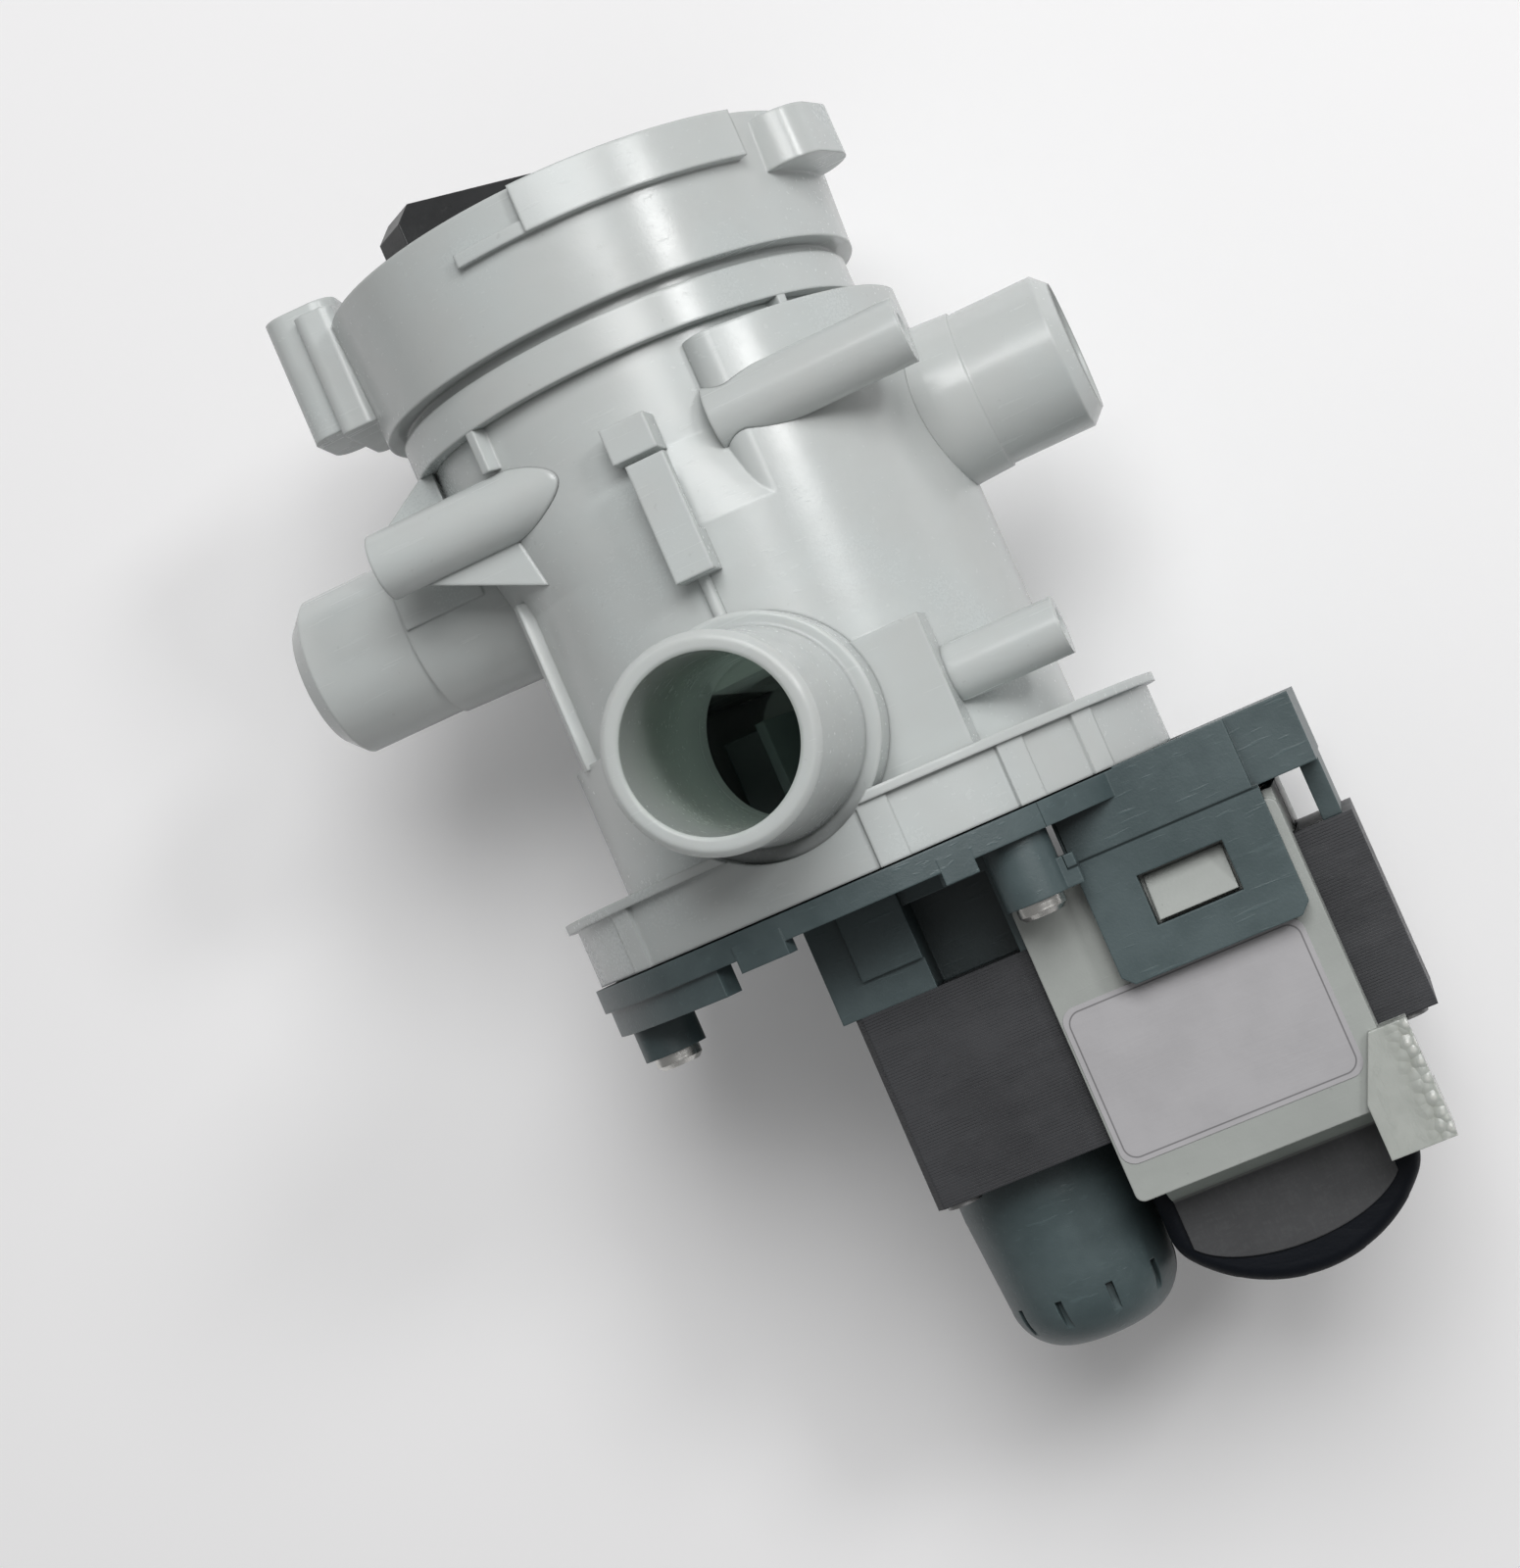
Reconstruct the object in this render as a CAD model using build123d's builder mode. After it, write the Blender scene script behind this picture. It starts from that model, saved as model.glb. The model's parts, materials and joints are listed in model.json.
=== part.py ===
from build123d import *
import os
from math import cos, radians, sin

os.makedirs("parts", exist_ok=True)

# Drain pump of a washing machine, with its filter housing, lying on its back.
# X runs along the side spigots, Y along the main axis towards the filter cap and
# Z up along the outlet spigot. Places whose names end in _x, _y or _z are counted
# from the rotor's axis and from the joint of the housing and the motor bracket.
# Lengths are in millimetres and turns in degrees, from +X towards +Z.

# Fits and overruns
overrun = 1.0
full_turn = 360
fan_shares = (-1, -0.5, 0, 0.5, 1)
running_gap = 0.04
seat_gap = 0.3

# Housing: flange, body and neck
body_x = -4.1
body_radius = 40.8
body_wall = 2.8
body_top_y = 60.0
body_bore = body_radius - body_wall
flange_margin = 13.6
flange_radius = body_radius + flange_margin
flange_y = 11.0
flange_plate = 2.8
lip_height = 1.6
skirt_inset = 1.6
skirt_radius = flange_radius - skirt_inset
skirt_wall = 2.2
skirt_pad_height = 0.7
skirt_pad_width = 5.0
skirt_pad_turns = (35, 52, 78, 132, 205, 250, 290, 335)
joint_lip = 0.8
joint_seam = 0.3
collar_x = -10.4
shoulder_y = 74.0
neck_inset = 2.3
neck_radius = body_radius - neck_inset
neck_wall = 3.5
throat_radius = neck_radius - neck_wall

# Housing: collar with its bayonet gallery
ring_y = 90.4
ring_step = 2.8
ring_radius = neck_radius + ring_step
groove_y = 98.7
groove_depth = 1.4
groove_height = 1.8
collar_step = 5.0
collar_radius = neck_radius + collar_step
rim_flare = 1.2
rim_radius = collar_radius + rim_flare
rim_y = 120.6
cup_wall = 3.2
cup_radius = rim_radius - cup_wall
cup_y = 104.0
gallery_depth = 3.6
gallery_radius = throat_radius + gallery_depth
gallery_low_y = 91.6
gallery_high_y = 96.2
entry_depth = 3.2
entry_radius = throat_radius + entry_depth
entry_width = 16.0
bayonet_count = 3
bayonet_turn = 90
band_height = 1.7
band_radius = rim_radius + band_height
band_y = 112.6
band_start_turn = 37
band_end_turn = 87
tail_height = 1.1
tail_top_y = 114.8
tail_end_turn = 103
neck_rib_length = 7.2
neck_rib_width = 1.8
neck_rib_turns = (38, 122, 210, 330)

# Housing: lugs around the collar
lug_reach = 9.9
lug_top_y = 127.0
lug_low_y = 104.5
lug_width = 20.0
lug_corner = 4.0
lug_turn = 174
step_reach = 3.8
step_width = 27.0
step_top_y = 124.6
step_low_y = 103.0
step_corner = 2.0
ear_reach = 6.3
ear_width = 20.0
ear_corner = 7.0
ear_top_y = 118.8
ear_low_y = 110.0
ear_turn = 17
foot_width = 18.0
foot_turn = -90
foot_top_y = 121.0

# Housing: impeller chamber
chamber_inset = 10.8
chamber_radius = body_radius - chamber_inset
chamber_wall = 4.6
chamber_outer = chamber_radius + chamber_wall
chamber_top_y = 36.0
partition = 4.8
partition_y = chamber_top_y + partition
eye_radius = 13.0

# Housing: outlet tube with its collar and pad, and the scroll round the chamber
outlet_x = -6.1
outlet_y = 25.4
outlet_reach = 81.0
outlet_radius = 16.4
outlet_bore = 13.4
outlet_fit_length = 20.0
outlet_edge = 1.0
outlet_root_radius = 17.2
outlet_root_lift = 9.2
outlet_root_z = body_radius + outlet_root_lift
outlet_collar_radius = 19.6
outlet_collar_lift = 7.2
outlet_collar_z = body_radius + outlet_collar_lift
outlet_collar_height = 14.0
outlet_pad_x = 23.4
outlet_pad_y = 33.4
outlet_pad_drop = 1.0
outlet_pad_z = body_radius - outlet_pad_drop
scroll_y = 33.8
scroll_lift = 1.6
scroll_radius = body_radius + scroll_lift
scroll_start_turn = 75
scroll_end_turn = 230

# Housing: side tubes
left_y = 68.0
left_z = 2.4
left_reach = 82.6
left_radius = 14.6
left_fit_length = 21.6
right_y = 66.0
right_z = 0.6
right_reach = 61.5
right_radius = 13.6
right_fit_length = 18.0
side_bore = 11.2
side_root_flare = 0.8
side_step = 0.4
side_edge = 3.0

# Housing: screw sleeves, gussets and the cable hook
sleeve_hole = 2.2
sleeve_depth = 16.0
sleeve_mouth = 0.6
left_sleeve_y = 77.2
left_sleeve_drop = 7.3
left_sleeve_z = neck_radius - left_sleeve_drop
left_sleeve_run = 6.9
left_sleeve_reach = neck_radius + left_sleeve_run - collar_x
left_sleeve_radius = 5.8
right_sleeve_y = 75.0
right_sleeve_drop = 6.4
right_sleeve_z = body_radius - right_sleeve_drop
right_sleeve_run = 2.3
right_sleeve_reach = body_x + body_radius + right_sleeve_run
right_sleeve_radius = 5.5
low_sleeve_y = 22.8
low_sleeve_drop = 10.6
low_sleeve_z = body_radius - low_sleeve_drop
low_sleeve_run = 5.9
low_sleeve_reach = body_x + body_radius + low_sleeve_run
low_sleeve_length = 18.0
low_sleeve_radius = 4.9
low_sleeve_inner_x = low_sleeve_reach - low_sleeve_length
gusset_wall = 2.0
gusset_inner_x = -28.0
gusset_low_y = 61.5
brace_wall = 3.0
brace_run = 4.7
brace_reach = left_sleeve_reach + brace_run
brace_z = 15.0
pad_x = 5.6
pad_top_y = 88.0
pad_round = 4.0
side_rib_turn = 146
side_rib_width = 1.8
side_rib_height = 2.2
side_rib_low_y = 33.0
side_rib_high_y = 63.0
hook_x = -5.0
hook_width = 6.6
hook_lift = 6.2
hook_z = body_radius + hook_lift
hook_wall = 2.4
hook_low_y = 52.2
hook_foot = 7.0
hook_high_y = 72.2
hook_lip_x = -6.6
hook_lip_width = 7.8
hook_lip_low_y = 73.6
hook_lip_high_y = 79.6
hook_lip_drop = 2.6
hook_rod_radius = 1.1

# Joint of housing and bracket: screws and seal
screw_inset = 7.9
screw_circle = flange_radius - screw_inset
screw_turns = (54.8, 152, 262)
screw_radius = 2.0
screw_clearance = 0.3
screw_depth = 7.5
pillar_radius = 4.6
boss_radius = 5.4
boss_y = -15.3
boss_lug_reach = 2.4
boss_lug_width = 3.4
boss_lug_height = 5.0
head_radius = 4.0
head_height = 2.4
head_round = 0.8
cross_width = 1.0
cross_length = 4.6
cross_depth = 1.4
seal_inset = 2.2
seal_radius = chamber_radius + seal_inset
seal_width = 2.6
seal_depth = 1.9
spigot_ring_height = 2.0
spigot_ring_wall = 2.4
spigot_ring_gap = 0.2

# Motor bracket: plate and rotor can
plate_inset = 0.4
plate_radius = flange_radius - plate_inset
plate_depth = 5.2
plate_web = 3.0
plate_rim = 2.6
step_pad_inset = 1.0
step_pad_width = 4.0
step_pad_depth = 4.6
step_pad_start_turn = 115.4
step_pad_end_turn = 166
tab_depth = 2.1
tab_wall = 3.0
tab_widths = (5.6, 9.0)
tab_turns = (69.2, 105)
can_radius = 16.0
can_wall = 1.8
can_end_y = -88.0
can_end_wall = 4.0
can_shoulder_y = -62.0
can_end_radius = 14.8
can_end_round = 9.0
can_notch_count = 10
can_notch_width = 1.3
can_notch_depth = 1.2
can_notch_height = 9.6
pocket_radius = 5.0
pocket_height = 14.0

# Motor bracket: pedestal, saddle, latches and side arm
pedestal_half_width = 16.5
pedestal_recess_x = 15.0
pedestal_recess_high_y = -8.0
pedestal_recess_depth = 8.0
pad_left_x = -10.4
pad_right_x = 0.3
pad_low_y = -16.8
pad_lift = 1.4
saddle_left_x = 28.4
saddle_right_x = 70.0
saddle_z = 32.0
saddle_top_y = -0.8
saddle_wall = 3.0
saddle_depth = 12.4
saddle_fold_x = 59.3
saddle_fold_depth = 1.6
latch_left_x = 28.8
latch_right_x = 60.2
latch_low_y = -33.6
latch_corner = 1.7
window_left_x = 37.4
window_right_x = 51.8
window_low_y = -26.4
window_high_y = -18.0
tooth_clearance = 0.6
tooth_lip = 0.4
arm_wall = 3.2
arm_half_width = 17.0

# Stator core: two poles round the can, two legs and a yoke
core_top_y = -22.2
core_length = 33.6
pole_left_x = -14.5
pole_right_x = 19.0
pole_z = 26.0
pole_inner_z = 4.0
pole_chamfer = 1.2
can_gap = 0.3
leg_low_z = 10.0
leg_high_z = 18.0
yoke_left_x = 62.0
yoke_reach = 71.6
rivet_radius = 1.8
rivet_head_radius = 3.0
rivet_head_height = 0.8
rivet_inset = 4.0

# Coils: bobbins, windings and label
bobbin_gap = 0.3
bobbin_wall = 1.4
flange_wall = 1.6
coil_top_y = -13.6
coil_low_y = -66.2
coil_inner_z = 1.0
cover_z = 28.0
cover_wall = 1.4
cover_left_x = 16.4
cover_top_y = -15.0
cover_corner = 1.5
coil_rim = 0.8
winding_corner = 7.0
label_left_x = 16.8
label_right_x = 57.8
label_low_y = -60.2
label_high_y = -33.4
label_corner = 2.5
label_thickness = 0.15

# Coil ends: taped bundle, insulating flap and thermal cut-out
wrap_left_x = 16.6
wrap_right_x = 59.8
wrap_left_y = -79.0
wrap_right_y = -77.5
wrap_low_y = -89.5
wrap_half_height = 15.6
wrap_edge = 2.0
wrap_crown_share = 0.54
cutout_length = 16.0
cutout_width = 8.0
cutout_height = 6.0
cutout_y = -75.0
flap_wall = 1.0
flap_left_x = 20.0
flap_right_x = 55.2
flap_left_y = -73.0
flap_right_y = -77.4
flap_low_y = -83.6
flap_lip_height = 6.0
flap_lip_width = 3.0

# Terminal block with its spade tabs
terminal_inner_x = 55.6
terminal_face_x = 60.2
terminal_x = 66.4
terminal_top_y = -54.4
terminal_low_y = -74.2
terminal_low_z = 17.0
terminal_high_z = 29.6
terminal_wall = 1.4
terminal_tail_depth = 3.4
socket_depth = 6.4
tab_blade_width = 6.3
tab_blade_wall = 0.8
tab_blade_length = 7.4
tab_blade_pitch = 5.2
tab_blade_root = 1.4

# Rotor, bearings and drive
shaft_radius = 2.0
shaft_end_gap = 5.4
shaft_low_y = can_end_y + shaft_end_gap
shaft_high_y = 25.0
magnet_radius = 13.2
magnet_bore = 6.5
magnet_low_y = -56.0
magnet_high_y = -23.0
sleeve_flange = 2.0
sleeve_flange_radius = 12.0
tooth_inner = 5.2
tooth_outer = 10.0
tooth_height = 4.6
tooth_share = 0.26
dog_hub = 4.8
dog_gap = 0.4
dog_lead_turn = 3
bearing_radius = 6.5
bearing_low_y = -12.6
bearing_high_y = -3.2
holder_low_y = -14.2
holder_high_y = -1.0
holder_lip = 1.4
washer_wall = 0.5
washer_radius = 4.4
rear_bearing_length = 6.6

# Impeller
impeller_gap = 8.5
impeller_radius = chamber_radius - impeller_gap
impeller_hub = 6.0
impeller_low_y = 3.2
impeller_disc = 2.0
impeller_high_y = 29.0
blade_count = 6
blade_wall = 2.0

# Filter: cap, seal and lint basket
cap_gap = 0.6
cap_radius = cup_radius - cap_gap
cap_low_y = 105.0
cap_high_y = 113.4
cap_plate = 2.6
cap_skirt_radius = throat_radius - cap_gap
cap_skirt_wall = 3.0
cap_rim_wall = 4.0
bayonet_radius = entry_radius - cap_gap
bayonet_width = 14.0
bayonet_low_y = 92.2
bayonet_high_y = 95.8
handle_length = 66.0
handle_width = 9.0
handle_y = 131.8
handle_turn = -43
handle_chamfer = 3.0
cap_hub_radius = 8.0
cap_hub_low_y = 91.0
stem_radius = 5.0
stem_high_y = 108.0
o_ring_section = 1.2
o_ring_y = 109.0
o_ring_gap = 0.3
basket_gap = 1.3
basket_radius = body_bore + collar_x - body_x - basket_gap
basket_wall = 2.2
basket_low_y = 46.0
basket_high_y = 88.0
basket_plate = 2.4
basket_slot_count = 10
basket_slot_width = 11.0
basket_slot_low_y = 52.0
basket_slot_high_y = 80.0

# The origin lies on the floor, in the middle of the pump's footprint
axis_x = (left_reach - yoke_reach) / 2
joint_y = -(handle_y + wrap_low_y) / 2
axis_z = flange_radius


def across(y, x=0.0, z=0.0, turn=0.0):
    """Plane square to the main axis, facing the motor; its x axis points out along the turn."""
    out = (cos(radians(turn)), 0, sin(radians(turn)))
    return Plane(origin=(axis_x + x, joint_y + y, axis_z + z), x_dir=out, z_dir=(0, -1, 0))


def level(z, x=0.0, y=0.0):
    """Level plane, facing up."""
    return Plane(origin=(axis_x + x, joint_y + y, axis_z + z))


def along_x(y=0.0, z=0.0):
    """Plane whose x axis is a line along X."""
    return Plane(origin=(axis_x, joint_y + y, axis_z + z), x_dir=(1, 0, 0), z_dir=(0, 0, 1))


def along_y(x=0.0, z=0.0):
    """Plane whose x axis is a line along the main axis."""
    return Plane(origin=(axis_x + x, joint_y, axis_z + z), x_dir=(0, 1, 0), z_dir=(0, 0, 1))


def along_z(x=0.0, y=0.0):
    """Plane whose x axis is a line straight up."""
    return Plane(origin=(axis_x + x, joint_y + y, axis_z), x_dir=(0, 0, 1), z_dir=(1, 0, 0))


def slug(high, low, radius, x=0.0, z=0.0, mode=Mode.ADD):
    """Round bar about a line along the main axis, between two heights."""
    with BuildSketch(across(high, x, z)) as disc:
        Circle(radius)
    extrude(disc.sketch, amount=high - low, mode=mode)


def tube(high, low, outer, inner, x=0.0, z=0.0, mode=Mode.ADD):
    """Round tube about a line along the main axis, between two heights."""
    with BuildSketch(across(high, x, z)) as ring:
        Circle(outer)
        Circle(inner, mode=Mode.SUBTRACT)
    extrude(ring.sketch, amount=high - low, mode=mode)


def turned(plane, points, mode=Mode.ADD):
    """Solid of revolution about the plane's x axis; each point is (along it, radius)."""
    with BuildSketch(plane) as profile:
        with BuildLine():
            Polyline(*points, close=True)
        make_face()
    revolve(profile.sketch, axis=Axis(plane.origin, plane.x_dir), mode=mode)


def block(low, high, corner=0.0, mode=Mode.ADD):
    """Box between two corners (x, y, z), its upright edges rounded where a corner is given."""
    width, length, height = (b - a for a, b in zip(low, high))
    with BuildSketch(level(low[2], (low[0] + high[0]) / 2, (low[1] + high[1]) / 2)) as outline:
        if corner:
            RectangleRounded(width, length, corner)
        else:
            Rectangle(width, length)
    extrude(outline.sketch, amount=height, mode=mode)


def spoke(high, low, inner, outer, width, turn, x=0.0, corner=0.0, mode=Mode.ADD):
    """Block that runs out along a turn from a line along the main axis."""
    with BuildSketch(across(high, x, turn=turn)) as outline:
        with Locations(((inner + outer) / 2, 0)):
            if corner:
                RectangleRounded(outer - inner, width, corner)
            else:
                Rectangle(outer - inner, width)
    extrude(outline.sketch, amount=high - low, mode=mode)


def sector(high, low, outer, inner, start, end, x=0.0, mode=Mode.ADD):
    """Piece of a ring about a line along the main axis, between two turns."""
    half = radians((end - start) / 2)
    fan = [(2 * outer * cos(half * share), 2 * outer * sin(half * share)) for share in fan_shares]
    with BuildSketch(across(high, x, turn=(start + end) / 2)) as piece:
        Circle(outer)
        Circle(inner, mode=Mode.SUBTRACT)
        with BuildLine():
            Polyline((0, 0), *fan, close=True)
        make_face(mode=Mode.INTERSECT)
    extrude(piece.sketch, amount=high - low, mode=mode)


def on_circle(radius, turn, x=0.0):
    """Place (x, z) at a turn on a circle about a line along the main axis."""
    return x + radius * cos(radians(turn)), radius * sin(radians(turn))


def shell(low_y, body, neck, mode=Mode.ADD):
    """Body and neck: a bar, a taper that shifts sideways, and a bar up to the collar."""
    slug(body_top_y, low_y, body, body_x, mode=mode)
    with BuildSketch(across(body_top_y, body_x)) as start:
        Circle(body)
    with BuildSketch(across(shoulder_y, collar_x)) as end:
        Circle(neck)
    loft([start.sketch, end.sketch], mode=mode)
    slug(ring_y, shoulder_y, neck, collar_x, mode=mode)


def raised_pad(mode=Mode.ADD):
    """Raised quarter at the front right of the neck, its edge rounded."""
    with BuildSketch(across(pad_top_y, body_x)) as pad:
        Circle(body_radius)
        with Locations(((pad_x - body_x + body_radius) / 2, body_radius / 2)):
            Rectangle(body_radius - pad_x + body_x, body_radius, mode=Mode.INTERSECT)
        fillet(pad.vertices().group_by(Axis.X)[0].sort_by(Axis.Y)[-1], radius=pad_round)
    extrude(pad.sketch, amount=pad_top_y - body_top_y, mode=mode)


def left_tube_form(mode=Mode.ADD):
    """Outside of the left tube, from the body's middle outwards."""
    turned(along_x(left_y, left_z), (
        (body_x, 0), (-left_reach, 0), (-left_reach, left_radius - side_edge),
        (-left_reach + side_edge, left_radius), (-left_reach + left_fit_length, left_radius),
        (-left_reach + left_fit_length, left_radius + side_step),
        (body_x - body_radius, left_radius + side_root_flare), (body_x, left_radius + side_root_flare)),
        mode)


def right_tube_form(mode=Mode.ADD):
    """Outside of the right tube, from the body's middle outwards."""
    turned(along_x(right_y, right_z), (
        (body_x, 0), (right_reach, 0), (right_reach, right_radius - side_edge),
        (right_reach - side_edge, right_radius), (right_reach - right_fit_length, right_radius),
        (right_reach - right_fit_length, right_radius + side_step),
        (body_x + body_radius, right_radius + side_root_flare), (body_x, right_radius + side_root_flare)),
        mode)


def outlet_pad(mode=Mode.ADD):
    """Flat pad on the right of the outlet tube."""
    block((outlet_x, flange_y, 0), (outlet_pad_x, outlet_pad_y, outlet_pad_z), mode=mode)


# Outside of the outlet tube, trimmed by the chamber and the body's hollow
with BuildPart() as outlet_form:
    turned(along_z(outlet_x, outlet_y), (
        (chamber_radius - chamber_wall, 0), (outlet_reach, 0), (outlet_reach, outlet_radius - outlet_edge),
        (outlet_reach - outlet_edge, outlet_radius), (outlet_reach - outlet_fit_length, outlet_radius),
        (outlet_root_z, outlet_root_radius), (outlet_collar_z, outlet_root_radius),
        (outlet_collar_z, outlet_collar_radius),
        (outlet_collar_z - outlet_collar_height, outlet_collar_radius),
        (outlet_collar_z - outlet_collar_height, outlet_root_radius),
        (chamber_radius - chamber_wall, outlet_root_radius)))
    slug(chamber_top_y, 0, chamber_outer, mode=Mode.SUBTRACT)
    slug(body_top_y, chamber_top_y, body_bore, body_x, mode=Mode.SUBTRACT)

# The housing is one white moulding, given in simple pieces. First its body with the neck
with BuildPart() as pump_housing:
    shell(0, body_radius, neck_radius)
    raised_pad()
    outlet_pad()
    sector(scroll_y, flange_y, scroll_radius, body_bore, scroll_start_turn, scroll_end_turn, body_x)
    spoke(side_rib_high_y, side_rib_low_y, body_bore, body_radius + side_rib_height, side_rib_width,
          side_rib_turn, body_x)
    for turn in neck_rib_turns:
        spoke(ring_y, ring_y - neck_rib_length, 0, ring_radius, neck_rib_width, turn, collar_x)
    block((hook_lip_x - hook_lip_width / 2, hook_lip_low_y, 0),
          (hook_lip_x + hook_lip_width / 2, hook_lip_high_y, hook_z - hook_lip_drop))
    shell(0, body_bore, throat_radius, mode=Mode.SUBTRACT)
    left_tube_form(Mode.SUBTRACT)
    right_tube_form(Mode.SUBTRACT)
    add(outlet_form.part, mode=Mode.SUBTRACT)
pump_housing.part.label = "pump_housing"
export_step(pump_housing.part, "parts/pump_housing.step")

# Flange: a plate with a skirt, pads and screw pillars, cut out round the outlet's collar
with BuildPart() as housing_flange:
    slug(flange_y, -joint_lip, skirt_radius, body_x)
    slug(flange_y - flange_plate, -joint_lip, skirt_radius - skirt_wall, body_x, mode=Mode.SUBTRACT)
    slug(flange_y, flange_y - lip_height, flange_radius, body_x)
    for turn in skirt_pad_turns:
        spoke(flange_y, -joint_lip, skirt_radius - skirt_wall, skirt_radius + skirt_pad_height,
              skirt_pad_width, turn, body_x)
    for turn in screw_turns:
        x, z = on_circle(screw_circle, turn, body_x)
        slug(flange_y - flange_plate, 0, pillar_radius, x, z)
        slug(screw_depth, 0, screw_radius, x, z, mode=Mode.SUBTRACT)
    slug(flange_y + overrun, -overrun, body_radius, body_x, mode=Mode.SUBTRACT)
    add(outlet_form.part, mode=Mode.SUBTRACT)
    turned(along_z(outlet_x, outlet_y), (
        (outlet_collar_z, 0), (outlet_reach, 0), (outlet_reach, outlet_collar_radius),
        (outlet_collar_z, outlet_collar_radius)), Mode.SUBTRACT)
housing_flange.part.label = "housing_flange"
export_step(housing_flange.part, "parts/housing_flange.step")

# Collar: groove, band, lugs and foot outside, the cap's cup and bayonet gallery inside
with BuildPart() as filter_collar:
    turned(along_y(collar_x), (
        (ring_y, 0), (ring_y, ring_radius), (groove_y - groove_height, ring_radius),
        (groove_y - groove_height, ring_radius - groove_depth), (groove_y, ring_radius - groove_depth),
        (groove_y, collar_radius), (rim_y, rim_radius), (rim_y, 0)))
    sector(rim_y, band_y, band_radius, cup_radius, band_start_turn, band_end_turn, collar_x)
    sector(tail_top_y, band_y, rim_radius + tail_height, cup_radius, band_end_turn, tail_end_turn, collar_x)
    spoke(lug_top_y, lug_low_y, cup_radius, rim_radius + lug_reach, lug_width, lug_turn, collar_x,
          lug_corner)
    spoke(step_top_y, step_low_y, cup_radius, rim_radius + step_reach, step_width, lug_turn, collar_x,
          step_corner)
    spoke(ear_top_y, ear_low_y, cup_radius - ear_corner, rim_radius + ear_reach, ear_width, ear_turn,
          collar_x, ear_corner)
    spoke(foot_top_y, lug_low_y, cup_radius, flange_radius, foot_width, foot_turn, collar_x, lug_corner)
    slug(rim_y + overrun, cup_y, cup_radius, collar_x, mode=Mode.SUBTRACT)
    slug(cup_y + overrun, ring_y - overrun, throat_radius, collar_x, mode=Mode.SUBTRACT)
    slug(gallery_high_y, gallery_low_y, gallery_radius, collar_x, mode=Mode.SUBTRACT)
    for index in range(bayonet_count):
        spoke(cup_y + overrun, gallery_low_y, 0, entry_radius, entry_width,
              bayonet_turn + index * full_turn / bayonet_count, collar_x, mode=Mode.SUBTRACT)
filter_collar.part.label = "filter_collar"
export_step(filter_collar.part, "parts/filter_collar.step")

# Impeller chamber: a cup in the body, closed by a partition with the impeller's eye
with BuildPart() as impeller_chamber:
    slug(chamber_top_y, 0, chamber_outer)
    slug(partition_y, chamber_top_y, body_bore, body_x)
    slug(partition_y, 0, body_bore, body_x, mode=Mode.INTERSECT)
    slug(chamber_top_y, 0, chamber_radius, mode=Mode.SUBTRACT)
    turned(along_z(outlet_x, outlet_y), (
        (0, 0), (outlet_reach, 0), (outlet_reach, outlet_bore), (0, outlet_bore)), Mode.SUBTRACT)
    slug(partition_y, chamber_top_y, chamber_radius)
    slug(partition_y + overrun, chamber_top_y - overrun, eye_radius, mode=Mode.SUBTRACT)
impeller_chamber.part.label = "impeller_chamber"
export_step(impeller_chamber.part, "parts/impeller_chamber.step")

with BuildPart() as outlet_tube:
    add(outlet_form.part)
    turned(along_z(outlet_x, outlet_y), (
        (0, 0), (outlet_reach + overrun, 0), (outlet_reach + overrun, outlet_bore), (0, outlet_bore)),
        Mode.SUBTRACT)
outlet_tube.part.label = "outlet_tube"
export_step(outlet_tube.part, "parts/outlet_tube.step")

# Left tube with the brace that ties it to the collar
with BuildPart() as left_tube:
    with BuildSketch(level(brace_z)) as brace:
        with BuildLine():
            Polyline((collar_x - throat_radius, ring_y), (collar_x - neck_radius + overrun, ring_y),
                     (-brace_reach, left_sleeve_y + left_sleeve_radius), (-brace_reach, left_y),
                     (collar_x - throat_radius, left_y), close=True)
        make_face()
    extrude(brace.sketch, amount=brace_wall)
    shell(0, body_radius, neck_radius, mode=Mode.SUBTRACT)
    left_tube_form()
    shell(0, body_bore, throat_radius, mode=Mode.SUBTRACT)
    turned(along_x(left_y, left_z), (
        (body_x, 0), (body_x, side_bore), (-left_reach - overrun, side_bore), (-left_reach - overrun, 0)),
        Mode.SUBTRACT)
left_tube.part.label = "left_tube"
export_step(left_tube.part, "parts/left_tube.step")

with BuildPart() as right_tube:
    right_tube_form()
    shell(0, body_bore, throat_radius, mode=Mode.SUBTRACT)
    turned(along_x(right_y, right_z), (
        (body_x, 0), (body_x, side_bore), (right_reach + overrun, side_bore), (right_reach + overrun, 0)),
        Mode.SUBTRACT)
right_tube.part.label = "right_tube"
export_step(right_tube.part, "parts/right_tube.step")


def sleeve(start, end, y, z, radius):
    """Screw sleeve along X, cut back to the body, with a hole from its far end."""
    side = 1 if end > start else -1
    turned(along_x(y, z), ((start, 0), (start, radius), (end, radius), (end, 0)))
    shell(0, body_radius, neck_radius, mode=Mode.SUBTRACT)
    raised_pad(Mode.SUBTRACT)
    turned(along_x(y, z), (
        (end - side * sleeve_depth, 0), (end - side * sleeve_depth, sleeve_hole),
        (end - side * sleeve_mouth, sleeve_hole),
        (end + side * overrun, sleeve_hole + sleeve_mouth + overrun), (end + side * overrun, 0)),
        Mode.SUBTRACT)


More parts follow.
